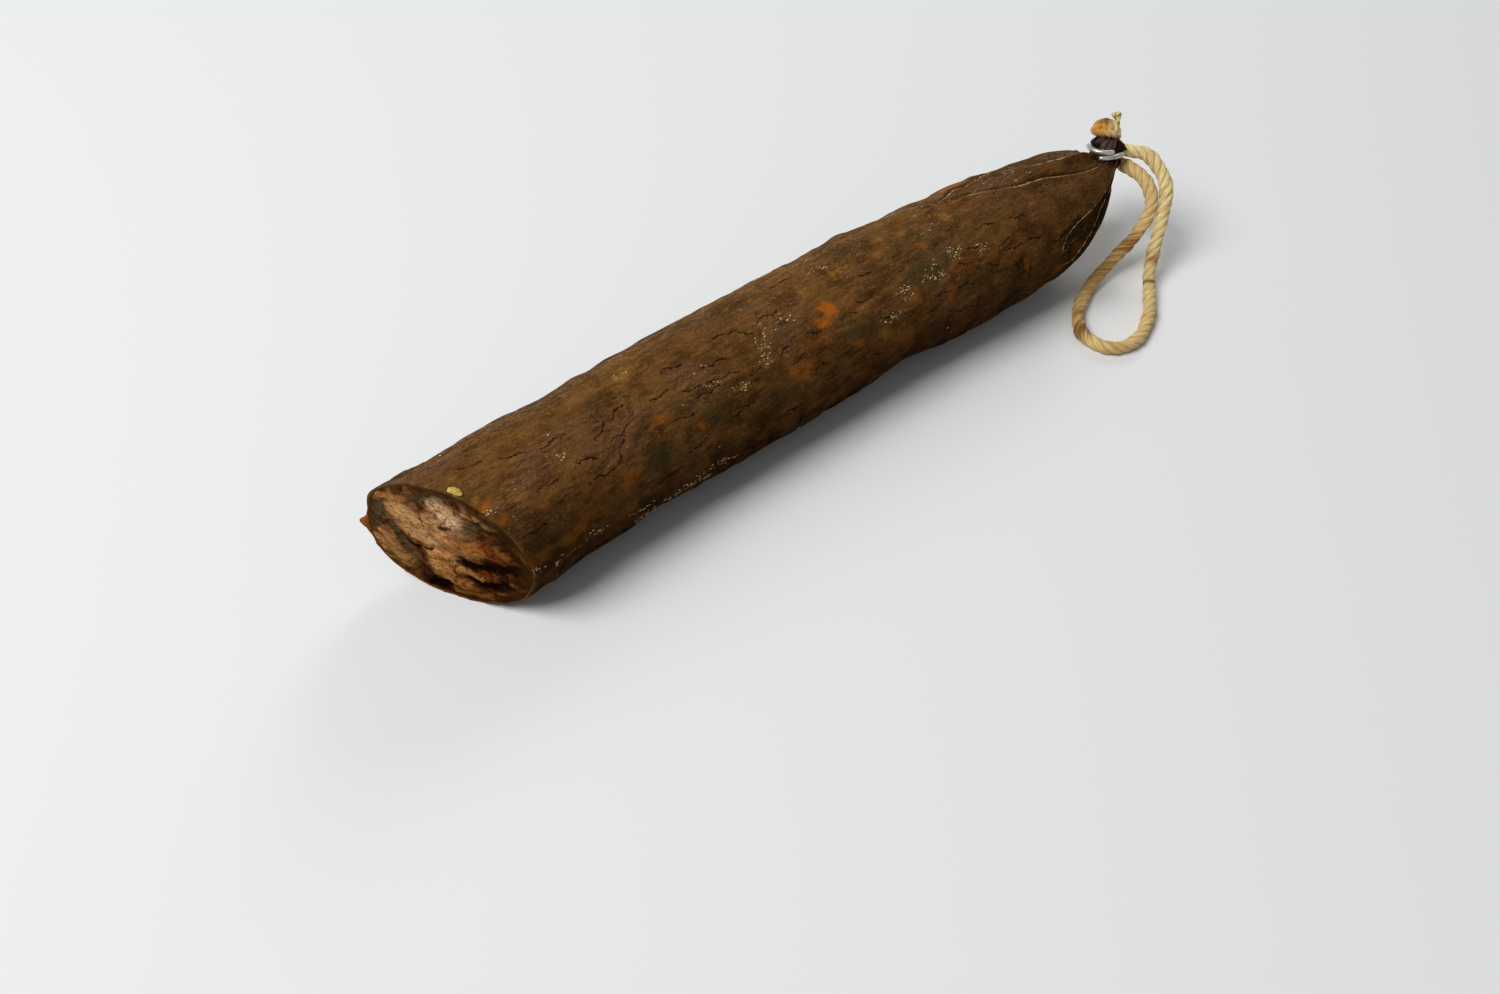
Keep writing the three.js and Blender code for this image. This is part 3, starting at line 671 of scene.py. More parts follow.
def rim_waver(angle, past_cut):
    """How far the rim of the cut strays from a true oval, fading with the distance past the cut."""
    ring = np.stack([np.cos(angle), np.sin(angle), 0 * angle], -1) * BODY_RADIUS / 8
    return 1.1 * grain(ring, 15) * fade(0, 12, past_cut)


def neck_size(column):
    """Half width or half thickness of the neck at each of its rings, smoothed over the rows of the table."""
    spaced = np.linspace(0, 1, 201)
    sizes = np.pad(np.interp(spaced, NECK_ROWS[:, 0], NECK_ROWS[:, column]), 4, "edge")
    return np.interp(up_neck, spaced, np.convolve(sizes, np.ones(9) / 9, "valid"))


angles = (np.arange(AROUND) + 0.5) * 2 * np.pi / AROUND
starts = cut_station(angles)
probe = np.linspace(BODY_START, NECK_START, 400)
walked = np.r_[0, np.cumsum(np.hypot(np.diff(probe), np.diff(plain_radius(probe))))]
shares = np.interp(np.linspace(0, walked[-1], BODY_ROWS), walked, np.linspace(0, 1, 400))
x = starts + (NECK_START - starts) * shares[:, None]
past_cut = x - starts
angle = np.broadcast_to(angles, x.shape)
degrees = np.degrees(angle)
place = np.stack([x, BODY_RADIUS * np.cos(angle), BODY_RADIUS * np.sin(angle)], -1)

# Relief of the skin: coarse lumps of meat under it, long wrinkles and a fine net of them
bent = grain(place / 11, 3)
bend = bent[..., None]
rough = grain(place / 2.6, 12) + 0.5 * grain(place / 1.1, 13)
chunky = np.minimum(np.abs(grain(place / (17, 9, 9) + 0.35 * bend, 1)) * 3.4, 1) ** 0.7
lumps = 0.8 * (chunky - 0.6) + 0.66 * grain(place / 10.5, 2) + 0.38 * grain(place / 4.6, 7)
wrinkle = 1 - 2.1 * np.abs(grain(place / (17, 2.7, 2.7) + bend * (0, 0.7, 0.7), 4))
fine = 1 - 2.1 * np.abs(grain(place / (6.5, 1.25, 1.25) + bend * 0.5, 5))
patchy = ease(-0.1, 0.45, grain(place / (26, 11, 11), 6))
near_neck = ease(70, 125, x)
wrinkled = 0.12 + 0.75 * patchy + 0.6 * near(degrees, 54, 24) + 0.6 * near(degrees, 190, 20)
wrinkled = np.clip(wrinkled, 0, 1.4) * (1 - 0.75 * near_neck)
height = 0.85 * lumps * (1 - 0.72 * near_neck) * (1 - 0.6 * near(degrees, 36, 26))
height = height + 0.14 * wrinkle * wrinkled + 0.07 * fine * (0.3 + 0.7 * wrinkled)
height = height + bulges(SWELLINGS, x, degrees)
# Folds, each a raised crest with a furrow on one side of it, then cracks
fold_shade = np.zeros(x.shape)
fold_run = np.zeros(x.shape)
fold_off = np.full(x.shape, FOLD_LIMIT)
for width, rise, furrow, run in FOLDS:
    off, share = distance_to_run(run)
    off = -furrow * (off + 0.5 * bent * width)
    ends = ease(0, 0.12, 1 - share) * (1 if run[0][0] > ON_NECK else ease(0, 0.15, share))
    crest = np.where(off > 0, bell(off / (2.8 * width)), bell(off / (0.8 * width)))
    trough = bell((off + 1.6 * width) / (0.85 * width))
    height = height + rise * ends * (crest - 0.65 * trough)
    drawn = min(rise, 1) ** 3 * ends * (run[0][0] > 110 or run[0][1] < 90)
    fold_shade = np.maximum(fold_shade, drawn * bell((off + 1.9 * width) / (1.25 * width)))
    drawn = drawn * fade(2.6, 3.8, np.abs(off / width))
    fold_off = np.where(drawn > fold_run, np.clip(off / width, -FOLD_LIMIT, FOLD_LIMIT), fold_off)
    fold_run = np.maximum(fold_run, drawn)
crack_run = np.zeros(x.shape)
crack_off = np.full(x.shape, CRACK_LIMIT)
for at, around, half, turn in CRACKS:
    lengthways, across = turned_from(at, around, turn)
    across = across + 1.1 * bent + 0.5 * np.sin(lengthways * 0.9 + at)
    run = fade(0.55, 1.0, np.abs(lengthways) / half) * fade(1.8, 2.8, np.abs(across))
    crack_off = np.where(run > crack_run, np.clip(across, -CRACK_LIMIT, CRACK_LIMIT), crack_off)
    crack_run = np.maximum(crack_run, run)
height = (height - 0.1 * crack_run * bell(crack_off / 0.9)) * off_floor(degrees, 20, 44)
# At the cut the skin lies flatter, wavers, and is torn up in one place
height = height * (0.35 + 0.65 * ease(0, 5, past_cut))
shred = near(degrees, SHRED["angle"], SHRED["half_width"]) * fade(0.5, 5.0, past_cut)
height = height + rim_waver(angle, past_cut) + SHRED["height"] * shred
height = height + near(degrees, 24, 10) * fade(0, 7, past_cut)
height = height + 0.9 * near(degrees, 50, 30) * ease(138, 160, x)
skin = body_point(x, angle, 0.0, height)
skin[0] += CUT_NORMAL * (0.05 + 0.4 * grain(place[0] / 3.0, 8) + 0.25 * grain(place[0] / 1.1, 9))[:, None]
rows = np.arange(SHRED["rows"])
hangs_out = SHRED["out"] * shred[rows] * fade(0, SHRED["rows"], rows)[:, None]
skin[rows] += CUT_NORMAL * hangs_out[..., None]
skin[..., 2] = np.maximum(skin[..., 2], 0.0)

# Neck: rings along a bend from the end of the body up through the clip to the tip of the tail
neck_start = spine(NECK_START)
neck_corner = neck_start + spine_tangent(NECK_START) * NECK_REACH
up_neck = np.linspace(0, 1, NECK_STEPS + 1)[1:, None]
middles = (1 - up_neck) ** 2 * neck_start + 2 * up_neck * (1 - up_neck) * neck_corner + up_neck**2 * TAIL_TIP
first_way = (neck_corner - neck_start) / NECK_REACH
turned = ease(0, 0.5, up_neck)
side, over = ring_axes(unit(first_way * (1 - turned) + CLIP_AXIS * turned))
neck_angle = np.broadcast_to(angles, (NECK_STEPS, AROUND))
neck_degrees = np.degrees(neck_angle)
half_width, half_depth = neck_size(1), neck_size(2)
from_turn = neck_angle - TAIL_TURN
radius = half_width * half_depth / np.hypot(half_depth * np.cos(from_turn), half_width * np.sin(from_turn))
radius = radius * (1 + (pleats(NECK_START, neck_angle) - 1) * fade(0, 0.55, up_neck))
in_hollow = ease(HOLLOW["from"] - HOLLOW["fade"], HOLLOW["from"], up_neck)
in_hollow = in_hollow * fade(HOLLOW["to"], HOLLOW["to"] + HOLLOW["fade"], up_neck)
radius = radius - HOLLOW["depth"] * in_hollow * near(neck_degrees, HOLLOW["angle"], HOLLOW["width"])
for around, spread, rise, begins, full, fades, ends in SQUEEZED:
    held = ease(begins, full, up_neck) * fade(fades, ends, up_neck)
    radius = radius + rise * held * near(neck_degrees, around, spread)
gathers = np.cos(13 * neck_angle + 1 + 2.2 * up_neck) + 0.6 * np.cos(23 * neck_angle + 4 - 3 * up_neck)
gathers = gathers + 0.35 * np.cos(7 * neck_angle - 2 * up_neck)
in_clip = bell((up_neck - 0.6) / 0.14)
radius = radius * (1 + 0.045 * gathers * (0.4 + 0.9 * ease(0.66, 0.82, up_neck)) * (1 - 0.6 * in_clip))
neck = middles[:, None] + (radius * np.cos(neck_angle))[..., None] * side[:, None]
neck = neck + (radius * np.sin(neck_angle))[..., None] * over[:, None]
carried = skin[-1] - body_point(NECK_START, angles)
neck = neck + carried * fade(0.1, 0.55, up_neck)[..., None]
rightward = (neck - CLIP_CENTRE) @ clip_right
crumpled = 0.5 * np.cos(3.1 * rightward / 2 + 1) + 0.3 * np.cos(5.3 * rightward / 2)
falling = 0.3 * np.maximum(0, -2.5 - rightward) + 0.16 * np.maximum(0, rightward + 2.5)
falling = falling + 0.38 * np.maximum(0, rightward - 4.5)
neck = neck + (ease(0.72, 1, up_neck) * (0.3 + 0.25 * crumpled - falling))[..., None] * CLIP_AXIS

# Inner side of the skin: it starts at the rim of the cut and is closed off deep inside the filling
liner_x = starts + LINER_DEPTH * (np.arange(LINER_ROWS)[:, None] / (LINER_ROWS - 1)) ** 1.5
liner_angle = np.broadcast_to(angles, liner_x.shape)
liner = body_point(liner_x, liner_angle, SKIN, rim_waver(liner_angle, liner_x - starts))
liner[0] += CUT_NORMAL * 0.05
tail_top = neck[-1].mean(axis=0) + CLIP_AXIS * 0.3
points, faces = closed_tube(np.vstack([liner[::-1], skin, neck]), spine(CUT_X + LINER_DEPTH), tail_top)

# Masks of the skin: rusty, golden, olive, salt specks painted bright as glints, cracks, folds, painted
# highlight on crests, painted shade, painted shade on the underside, dark tail
floor_side = 1 - off_floor(degrees, 60, 150)
under_left = near(np.degrees(angles), 318, 72)
rim_gold = fade(0.0, 1.6, past_cut + 0.5 * rough) * ease(-0.3, 0.5, grain(place / 6.0, 14))
# Painted shade in the hollows between the lumps and in a band along the upper edge; the shade mask also
# darkens the skin from the middle on towards the neck and by the upper rim of the cut, and takes the painted
# shade of the fold furrows below
shade = 0.07 * ease(10, 60, x) + 0.19 * near_neck + 0.14 * near(degrees, 36, 12)
shade = shade + 0.16 * ease(-0.1, 0.75, -lumps - 0.15)
shade = shade + 0.26 * near(degrees, 54, 26) * fade(4, 26, past_cut)
# Painted shade on the underside, darkest where the skin faces the floor
underside_shade = (1.02 - 0.07 * ease(60, 100, x)) * floor_side ** (0.78 + 0.22 * ease(-110, -40, x))
on_body = {
    "rust": patch_mask(RUST_PATCHES, rough) + 0.55 * shred,
    "gold": np.maximum(patch_mask(GOLD_PATCHES, rough), rim_gold * (0.25 + 0.75 * under_left)),
    "olive": patch_mask(OLIVE_PATCHES, rough * 0.8),
    "salt_and_glint": patch_mask(SALT_AND_GLINT_PATCHES, rough * 1.2),
    "crack_run": crack_run,
    "crack_off": crack_off,
    "fold_run": fold_run,
    "fold_off": fold_off,
    # Painted highlight: paler streaks on the wrinkle crests along the upper edge
    "crest": np.clip(0.38 * near(degrees, 60, 15) * np.clip(1.2 * wrinkle, 0, 1) ** 2, 0, 1),
    "shade": np.clip(np.maximum(fold_shade, shade), 0, 1),
    "underside_shade": underside_shade * (1 - shred) * (0.35 + 0.65 * ease(0.0, 2.5, past_cut)),
    "tail": np.zeros(x.shape),
}
# What a mask holds where nothing is drawn, if that is not 0
BLANK = {"underside_shade": 0.3, "crack_off": CRACK_LIMIT, "fold_off": FOLD_LIMIT}
on_neck = {name: np.full(neck_angle.shape, BLANK.get(name, 0.0)) for name in on_body}
tail_mask = np.broadcast_to(ease(0.5, 0.66, up_neck), neck_angle.shape)
neck_shade = 0.4 * ease(0.2, 0.5, up_neck) * fade(0.5, 0.65, up_neck) - gathers * 0.3 * in_clip
on_neck["tail"] = tail_mask
# Painted highlight on the tops of the gathers
on_neck["crest"] = np.clip(gathers * 0.3, 0, 1) * (1 - tail_mask)
on_neck["shade"] = np.clip(0.24 + np.clip(neck_shade, 0, 1) + 0.55 * ease(0.25, 0.5, up_neck), 0, 1)
for width, rise, furrow, run in FOLDS:
    if run[0][0] > ON_NECK:
        off = -furrow * np.radians(degrees_between(neck_degrees, run[0][1])) * half_width / (0.6 * width)
        drawn = min(rise, 1) ** 3 * fade(0.42, 0.58, up_neck) * fade(2.4, 3.6, np.abs(off))
        clipped = np.clip(off, -FOLD_LIMIT, FOLD_LIMIT)
        on_neck["fold_off"] = np.where(drawn > on_neck["fold_run"], clipped, on_neck["fold_off"])
        on_neck["fold_run"] = np.maximum(on_neck["fold_run"], drawn)
masks = {}
for name in on_body:
    blank = BLANK.get(name, 0.0)
    inside = 0.5 * under_left if name in ("gold", "rust") else np.full(AROUND, blank)
    rings = np.vstack([np.tile(inside, (LINER_ROWS, 1)), on_body[name], on_neck[name]])
    masks[name] = np.r_[rings.ravel(), blank, blank]

# Surface of cured meat and its skin: fine pimpled grain, short lengthwise wrinkles and broad blotches.
# It is used at several sizes
cured_grain = bpy.data.node_groups.new("cured surface", "ShaderNodeTree")
cured_grain.interface.new_socket("Vector", in_out="INPUT", socket_type="NodeSocketVector")
cured_grain.interface.new_socket("Size", in_out="INPUT", socket_type="NodeSocketFloat")
for name in ("Grain", "Wrinkles", "Blotches"):
    cured_grain.interface.new_socket(name, in_out="OUTPUT", socket_type="NodeSocketFloat")
given = cured_grain.nodes.new("NodeGroupInput").outputs
scaled = add(cured_grain, "VectorMath", {"operation": "SCALE"}, Vector=given["Vector"], Scale=given["Size"])
scaled = scaled.outputs[0]
fill(
    cured_grain.nodes.new("NodeGroupOutput"),
    Grain=clouds_at(scaled, 1, 4, 0.6)[0],
    Wrinkles=clouds_at(stretched(scaled, 0.16, 0.8, 0.8), 1, 3, 0.55, 0.35)[0],
    Blotches=clouds_at(scaled, 0.17, 3, 0.55)[0],
)


def cured_surface(place, size):
    """Grain, wrinkles and blotches of the cured surface."""
    node = add(place.node.id_data, "Group", {"node_tree": cured_grain})
    fill(node, Vector=place, Size=size)
    return node.outputs["Grain"], node.outputs["Wrinkles"], node.outputs["Blotches"]


gut, tree, shader = new_material("dried gut skin")
where = add(tree, "TexCoord").outputs["Object"]
pimples, creases, blotches = cured_surface(where, 900.0)
clouds = clouds_at(where, 62, 3)[0]
drift = clouds_at(where, 33)[0]
streaks = clouds_at(stretched(where, 520, 1350, 1350), 1, 4, 0.6, 0.25)[0]
underside_shade = mask_of(tree, "underside_shade")
tail = mask_of(tree, "tail")
off_tail = between(tail, 0, 0.2, 1, 0)
brown = blend(between(clouds, 0.36, 0.62), (0.084, 0.035, 0.0086), (0.158, 0.068, 0.0178))
brown = layered(brown, [
    (drift, 0.5, 0.64, 0, 0.75, (0.148, 0.066, 0.03)),
    (blotches, 0.52, 0.68, 0, 0.25, (0.215, 0.1, 0.026)),
    (blotches, 0.36, 0.46, 0.36, 0, (0.044, 0.0185, 0.005)),
    (streaks, 0.3, 0.44, 0.34, 0, (0.036, 0.014, 0.004)),
    (streaks, 0.56, 0.72, 0, 0.32, (0.3, 0.152, 0.05)),
    (pimples, 0.56, 0.7, 0, 0.46, (0.31, 0.165, 0.055)),
    (pimples, 0.3, 0.43, 0.46, 0, (0.03, 0.012, 0.003)),
    (creases, 0.36, 0.47, 0.36, 0, (0.036, 0.0145, 0.004)),
    (creases, 0.56, 0.68, 0, 0.26, (0.3, 0.155, 0.054)),
])
greenish = times(mask_of(tree, "olive"), between(pimples, 0.3, 0.62, 0.6, 1), 0.75)
brown = blend(greenish, brown, (0.052, 0.041, 0.014))
golden = times(mask_of(tree, "gold"), between(pimples, 0.32, 0.55, 0.4, 1), 0.8)
brown = blend(golden, brown, (0.32, 0.16, 0.02))
ruddy = times(maths("POWER", mask_of(tree, "rust"), 1.35), between(creases, 0.28, 0.5, 0.5, 1), 0.95)
brown = blend(maths("MINIMUM", ruddy, 0.92), brown, (0.4, 0.104, 0.008))
# Painted highlight: paler streaks where the crest mask is
crest_highlight = times(mask_of(tree, "crest"), between(streaks, 0.44, 0.6, 0.25, 1.3))
brown = blend(maths("MINIMUM", crest_highlight, 0.9), brown, (0.33, 0.2, 0.09))
# Painted shade: near black on the underside, then the darkening of the shade mask
brown = blend(times(underside_shade, between(blotches, 0.35, 0.65, 1, 0.72), 0.95), brown, (0.009, 0.003, 0.0006))
brown = blend(times(mask_of(tree, "shade"), 0.88), brown, (0.012, 0.0038, 0.0012))
# Painted highlight along the crest of each fold, and painted shade in the furrow beside it
wander = between(pimples, 0.25, 0.75, -0.5, 0.5)
ridge = maths("ADD", mask_of(tree, "fold_off"), times(wander, 0.6))
fold_run = mask_of(tree, "fold_run")
ridge_highlight = times(between(maths("ABSOLUTE", ridge), 0.08, 0.42, 1, 0), fold_run)
ridge_highlight = times(ridge_highlight, between(blotches, 0.38, 0.54, 0.3, 1))
brown = blend(times(ridge_highlight, 0.9), brown, (0.74, 0.51, 0.24))
furrow_shade = times(between(maths("ABSOLUTE", maths("ADD", ridge, 1.25)), 0.35, 0.9, 1, 0), fold_run)
brown = blend(times(furrow_shade, 0.6), brown, (0.01, 0.0036, 0.0012))
# Cracks: the large ones that are drawn, and a net of small ones on the driest parts
split = maths("ABSOLUTE", maths("ADD", mask_of(tree, "crack_off"), wander))
cracked = times(between(split, 0.08, 0.32, 1, 0), between(mask_of(tree, "crack_run"), 0.15, 0.6))
cracked = times(cracked, between(blotches, 0.34, 0.44, 0.2, 1))
shaken = clouds_at(where, 520, 3)["Color"]
shaken = add(tree, "VectorMath", {"operation": "SCALE"}, Vector=shaken, Scale=0.9).outputs[0]
net_place = add(tree, "VectorMath", {"operation": "ADD"}, Vector=stretched(where, 130, 430, 430))
feed(net_place.inputs[1], shaken)
net = add(tree, "TexVoronoi", {"feature": "DISTANCE_TO_EDGE"}, Vector=net_place.outputs[0], Scale=1.0)
net = times(between(net.outputs["Distance"], 0.006, 0.032, 1, 0), between(drift, 0.44, 0.58))
net = times(net, between(blotches, 0.47, 0.58, 0, 0.8), between(tail, 0, 0.2, 0.85, 0))
cracked = maths("MAXIMUM", cracked, net)
brown = blend(times(cracked, 0.92), brown, (0.008, 0.003, 0.0012))
# Salt specks, painted bright as glints: small grains in loose clusters where their mask is, and a few astray
salt_and_glint_cells = add(tree, "TexVoronoi", Vector=stretched(where, 950, 1650, 1650), Scale=1.0).outputs
drawn_lots = add(tree, "SeparateXYZ", Vector=salt_and_glint_cells["Color"]).outputs
salt_and_glint_cover = times(mask_of(tree, "salt_and_glint"), between(clouds_at(where, 420)[0], 0.36, 0.6, 0.25, 1.05))
salt_and_glint_grains = between(maths("ADD", drawn_lots[0], times(salt_and_glint_cover, 0.85)), 0.95, 1.06)
salt_and_glint_grains = times(salt_and_glint_grains, between(salt_and_glint_cover, 0.05, 0.2))
stray = times(between(drawn_lots[1], 0.992, 0.998), between(drift, 0.48, 0.62), off_tail)
salt_and_glint_grains = times(maths("MAXIMUM", salt_and_glint_grains, stray), between(salt_and_glint_cells["Distance"], 0.26, 0.5, 1, 0))
salt_and_glint_grains = times(salt_and_glint_grains, between(drawn_lots[2], 0.1, 0.9, 0.25, 1))
brown = blend(times(salt_and_glint_grains, 0.95), brown, (0.98, 0.8, 0.38))
tail_colour = blend(between(pimples, 0.5, 0.75), (0.01, 0.005, 0.004), (0.06, 0.028, 0.02))
tail_colour = layered(tail_colour, [(blotches, 0.5, 0.62, 0, 0.75, (0.105, 0.05, 0.036))])
gloss = maths("ADD", between(blotches, 0.35, 0.65, 0.36, 0.5), times(underside_shade, 0.38))
gloss = maths("SUBTRACT", gloss, times(ridge_highlight, 0.12))
glints = times(between(streaks, 0.57, 0.66), between(blotches, 0.44, 0.56, 0.1, 0.7))
oily = maths("MAXIMUM", times(ridge_highlight, 0.25), times(salt_and_glint_grains, 0.15))
oily = maths("MAXIMUM", maths("MAXIMUM", oily, glints), times(tail, 0.25))
oily = times(oily, between(underside_shade, 0.1, 0.6, 1, 0))
rise = times(streaks, 1.1)
for part, share in (
    (pimples, 0.8), (creases, 0.4), (clouds_at(where, 2300)[0], 0.25), (salt_and_glint_grains, 0.5),
    (ridge_highlight, 0.5), (furrow_shade, -0.6), (cracked, -0.8),
):
    rise = maths("ADD", rise, times(part, share))
fill(
    shader, Base_Color=blend(tail, brown, tail_colour), Roughness=gloss, Specular_IOR_Level=0.005,
    Coat_Weight=oily, Coat_Roughness=0.25, Normal=bumped(rise, 0.95, 0.00055),
)

skin_piece = make_piece("sausage_skin", points, faces, gut, masks)
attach(skin_piece, "root")
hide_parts("casing")

# Filling: coarse cured wild boar, pale fat and pink lean pieces pressed together, with dark seams between.
# The knife left it slightly rough at the cut. Behind the cut it runs on inside the skin to the neck.
FILL_AROUND = 432
FACE_RINGS = 104
INNER_ROWS = 18
FILL_INSET = SKIN + 0.04
INNER_END = 158
INNER_TIP = 162.5
# Where the filling begins to close in towards the neck, and where it would come to nothing
CLOSING = (131, 167)
INNER_TONE = [0.22, 0.11, 0.045]
FACE_RIGHT = unit(np.cross((0, 0, 1.0), CUT_NORMAL))
FACE_UP = np.cross(CUT_NORMAL, FACE_RIGHT)
# Each stretch where pale flesh fills in between the pieces: from right, up to right, up, half width
FLESHY = [
    [-15, 9, 6, 4, 8], [0, 17, 6, 10, 6], [-5, -2, -4, -14, 5], [5, -10, 12, -13, 3], [8, 3, 15, 3, 3.5],
    [-24, -2, -19, -17, 4],
]
# Each kind of meat in the mix: its colour, how far it stands up from the cut, and how dark its outline is
MEATS = {
    "pale": ((0.56, 0.35, 0.185), 0.45, 0.35),
    "tan": ((0.44, 0.24, 0.094), 0.35, 0.35),
    "pink": ((0.49, 0.235, 0.098), 0.4, 0.4),
    "orange": ((0.31, 0.128, 0.031), 0.3, 0.45),
    "gold": ((0.38, 0.2, 0.032), 0.3, 0.4),
    "olive": ((0.3, 0.165, 0.052), 0.2, 0.4),
    "grey": ((0.078, 0.053, 0.026), -0.2, 0.0),
    "dark": ((0.046, 0.021, 0.006), -0.3, 0.0),
    "black": ((0.012, 0.003, 0.001), -0.55, 0.0),
    "red": ((0.2, 0.045, 0.007), -0.05, 0.2),
}
# Each piece in the face: from right, up to right, up, half width (mm), kind
FACE_PIECES = [
    [-11.5, 20.5, 7.5, 28.5, 2, "grey"], [-24, 11.5, -27.5, 0, 2.5, "grey"],
    [-21.5, 4, -18, -3, 2.5, "grey"], [-18, -3, -14, -13, 2.5, "grey"], [-13.5, -16.5, -8, -21, 4, "dark"],
    [-27.5, 9, -31, -1, 1.5, "grey"], [-8.5, -24, -1.5, -22, 3, "black"],
    [-6.5, -22.5, -3.5, -23.5, 4, "black"], [8, 13, 17, 17, 2.5, "grey"], [17.5, 19, 24.5, 15, 3.5, "dark"],
    [21.5, 11.5, 27.5, 13, 2, "dark"], [4, -6, 16, -6, 3.5, "black"], [17, -3, 28, -1.5, 4, "black"],
    [26.5, 10, 30, 6, 3.5, "dark"], [8.5, -15, 15.5, -15.5, 3.5, "black"],
    [16.5, -15, 24.5, -12, 3, "black"], [-24, 17, -13.5, 19.5, 2.5, "orange"],
    [-5, 17, 4, 23.5, 1.5, "red"], [-4, 18, 2, 22, 1, "orange"], [-16, 12.5, -8, 9, 6.5, "tan"],
    [-12.5, 3, -4, 2, 5, "tan"], [-4, 13, 2.5, 10.5, 4, "tan"], [-1, 7, 3, 4, 4, "pink"],
    [-28.5, -7, -26, -11.5, 3, "tan"], [-23, -11.5, -18, -14.5, 5, "olive"],
    [-27, -2, -22.5, -7.5, 1.5, "pink"], [-4, -5.5, -0.5, -14, 5, "orange"],
    [-28.5, -17, -24.5, -18, 1.1, "gold"], [-7.5, -4.5, -4, -5.5, 2.5, "pink"],
    [1.5, 20.5, 5.5, 16, 5.5, "pale"], [10, 25.5, 11.5, 20.5, 1.5, "pink"], [14, 22, 15.5, 21, 1.5, "pink"],
    [17.5, 23.5, 20.5, 23, 1, "orange"], [8.5, 30.5, 10.5, 29, 1.2, "orange"],
    [18, 18.5, 21, 18.5, 2, "olive"], [4, 2, 16, 4.5, 4.5, "orange"], [-2.5, -4, 2, -4.5, 3.5, "pink"],
    [17.5, 8, 19, 2, 2.5, "red"], [22, 7, 24.5, 5, 2.5, "orange"], [21, 3, 22.5, 1.5, 2, "red"],
    [28.5, 9.5, 32, 5.5, 1.5, "olive"], [-4.5, -11.5, 0.5, -12.5, 5, "tan"], [3, -8.5, 12, -12.5, 2, "tan"],
    [-1, -18, 6.5, -19, 3.5, "tan"], [1.5, -12, 5, -14.5, 1, "red"], [15, -9, 17, -11, 2, "red"],
    [1, -24.5, 16, -21.5, 2, "gold"], [25.5, -10, 31, -12, 2, "orange"],
    [18.5, -18, 24.5, -16.5, 0.9, "gold"], [3.5, -19.5, 9.5, -19.5, 2, "orange"],
    [-14.5, -4, -11, -5, 0.8, "black"], [-11, -4, -5, -2.5, 0.6, "black"],
    [-7.5, 13.5, -6.5, 9, 0.5, "red"], [-13.5, 2.5, -14.5, -1.5, 0.4, "red"],
    [-2, 12, 4.5, 11.5, 0.6, "dark"], [-0.5, 10.5, 2.5, 11, 0.6, "dark"], [7.5, 26, 7.5, 19.5, 0.5, "red"],
]


def line_off(au, av, bu, bv):
    """Distance of each spot of the face, as the grain bends it, from a straight line between two spots."""
    su, sv = bu - au, bv - av
    t = np.clip(((wu - au) * su + (wv - av) * sv) / (su * su + sv * sv), 0, 1)
    return np.hypot(wu - au - t * su, wv - av - t * sv)


def fibres_at(lengthways, across, seed):
    """Noise drawn out along the fibres of the meat, which run slantwise over the face."""
    run, over = (wu * 0.9 - wv * 0.45) / lengthways, (wu * 0.45 + wv * 0.9) / across
    return grain(np.stack([run, over, 0 * wu], -1), seed)


def tinted(tone, cover, strengths):
    """The colour darkened in red, green and blue by these strengths, as far as the cover goes."""
    return tone * (1 - cover[..., None] * np.array(strengths))


fill_angles = (np.arange(FILL_AROUND) + 0.5) * 2 * np.pi / FILL_AROUND
rim_x = cut_station(fill_angles, FILL_INSET)
rim = body_point(rim_x, fill_angles, FILL_INSET, rim_waver(fill_angles, 0 * rim_x))
centre = spine(CUT_X)
reach = (np.arange(1, FACE_RINGS + 1) / FACE_RINGS) ** 0.85
flat_face = centre + (rim - centre) * reach[:, None, None]
# Places on the face, u to the right and v up, then the same places as the grain of the meat bends them
u = (flat_face - centre) @ FACE_RIGHT
v = (flat_face - centre) @ FACE_UP
spot = np.stack([u, v, 0 * u], -1)
wu = u + 1.1 * grain(spot / 4.6, 21) + 0.55 * grain(spot / 1.7, 23)
wv = v + 1.1 * grain(spot / 4.6, 22) + 0.55 * grain(spot / 1.7, 24)
fray = fibres_at(3.2, 0.9, 28) + 0.5 * fibres_at(1.4, 0.45, 33)
marble = ease(-0.25, 0.35, grain(spot / 3.4, 25) + 0.5 * fray)[..., None]
fleshy = np.zeros_like(u)
for *ends, half in FLESHY:
    fleshy = np.maximum(fleshy, fade(0.6, 1.15, line_off(*ends) / half + 0.2 * fray))
tone = (1 - marble) * (0.06, 0.021, 0.006) + marble * (0.17, 0.068, 0.02)
between_lobes = fleshy[..., None] * (0.55 + 0.45 * marble)
tone = tone * (1 - between_lobes) + between_lobes * (0.36, 0.18, 0.07) * (1 + 0.3 * fray[..., None])
raised = 0.2 * grain(spot / 3.0, 29)
draw = random.Random(3)
for *ends, half, kind in FACE_PIECES:
    tint, stands, outlined = MEATS[kind]
    tint = np.array(tint) * draw.uniform(0.88, 1.12)
    off = line_off(*ends) / half
    inside = fade(0.42, 1.2, off + 0.55 * fray)
    shaded = tint * (1 + 0.38 * fray[..., None]) * (1.12 - 0.4 * np.clip(off, 0, 1)[..., None] ** 2)
    tone = tone * (1 - inside[..., None]) + shaded * inside[..., None]
    rim_line = outlined * bell((off - 1.04) / 0.16) * ease(-0.2, 0.5, grain(spot / 2.3 + half, 30))
    tone = tinted(tone, rim_line, (0.75, 0.9, 0.95))
    dome = stands * np.sqrt(np.clip(1 - off**2, 0, 1)) * min(half / 2.2, 1.3)
    raised = raised * (1 - inside) + (raised + dome) * inside - 0.18 * rim_line
bent_spot = np.stack([wu, wv, 0 * wu], -1)
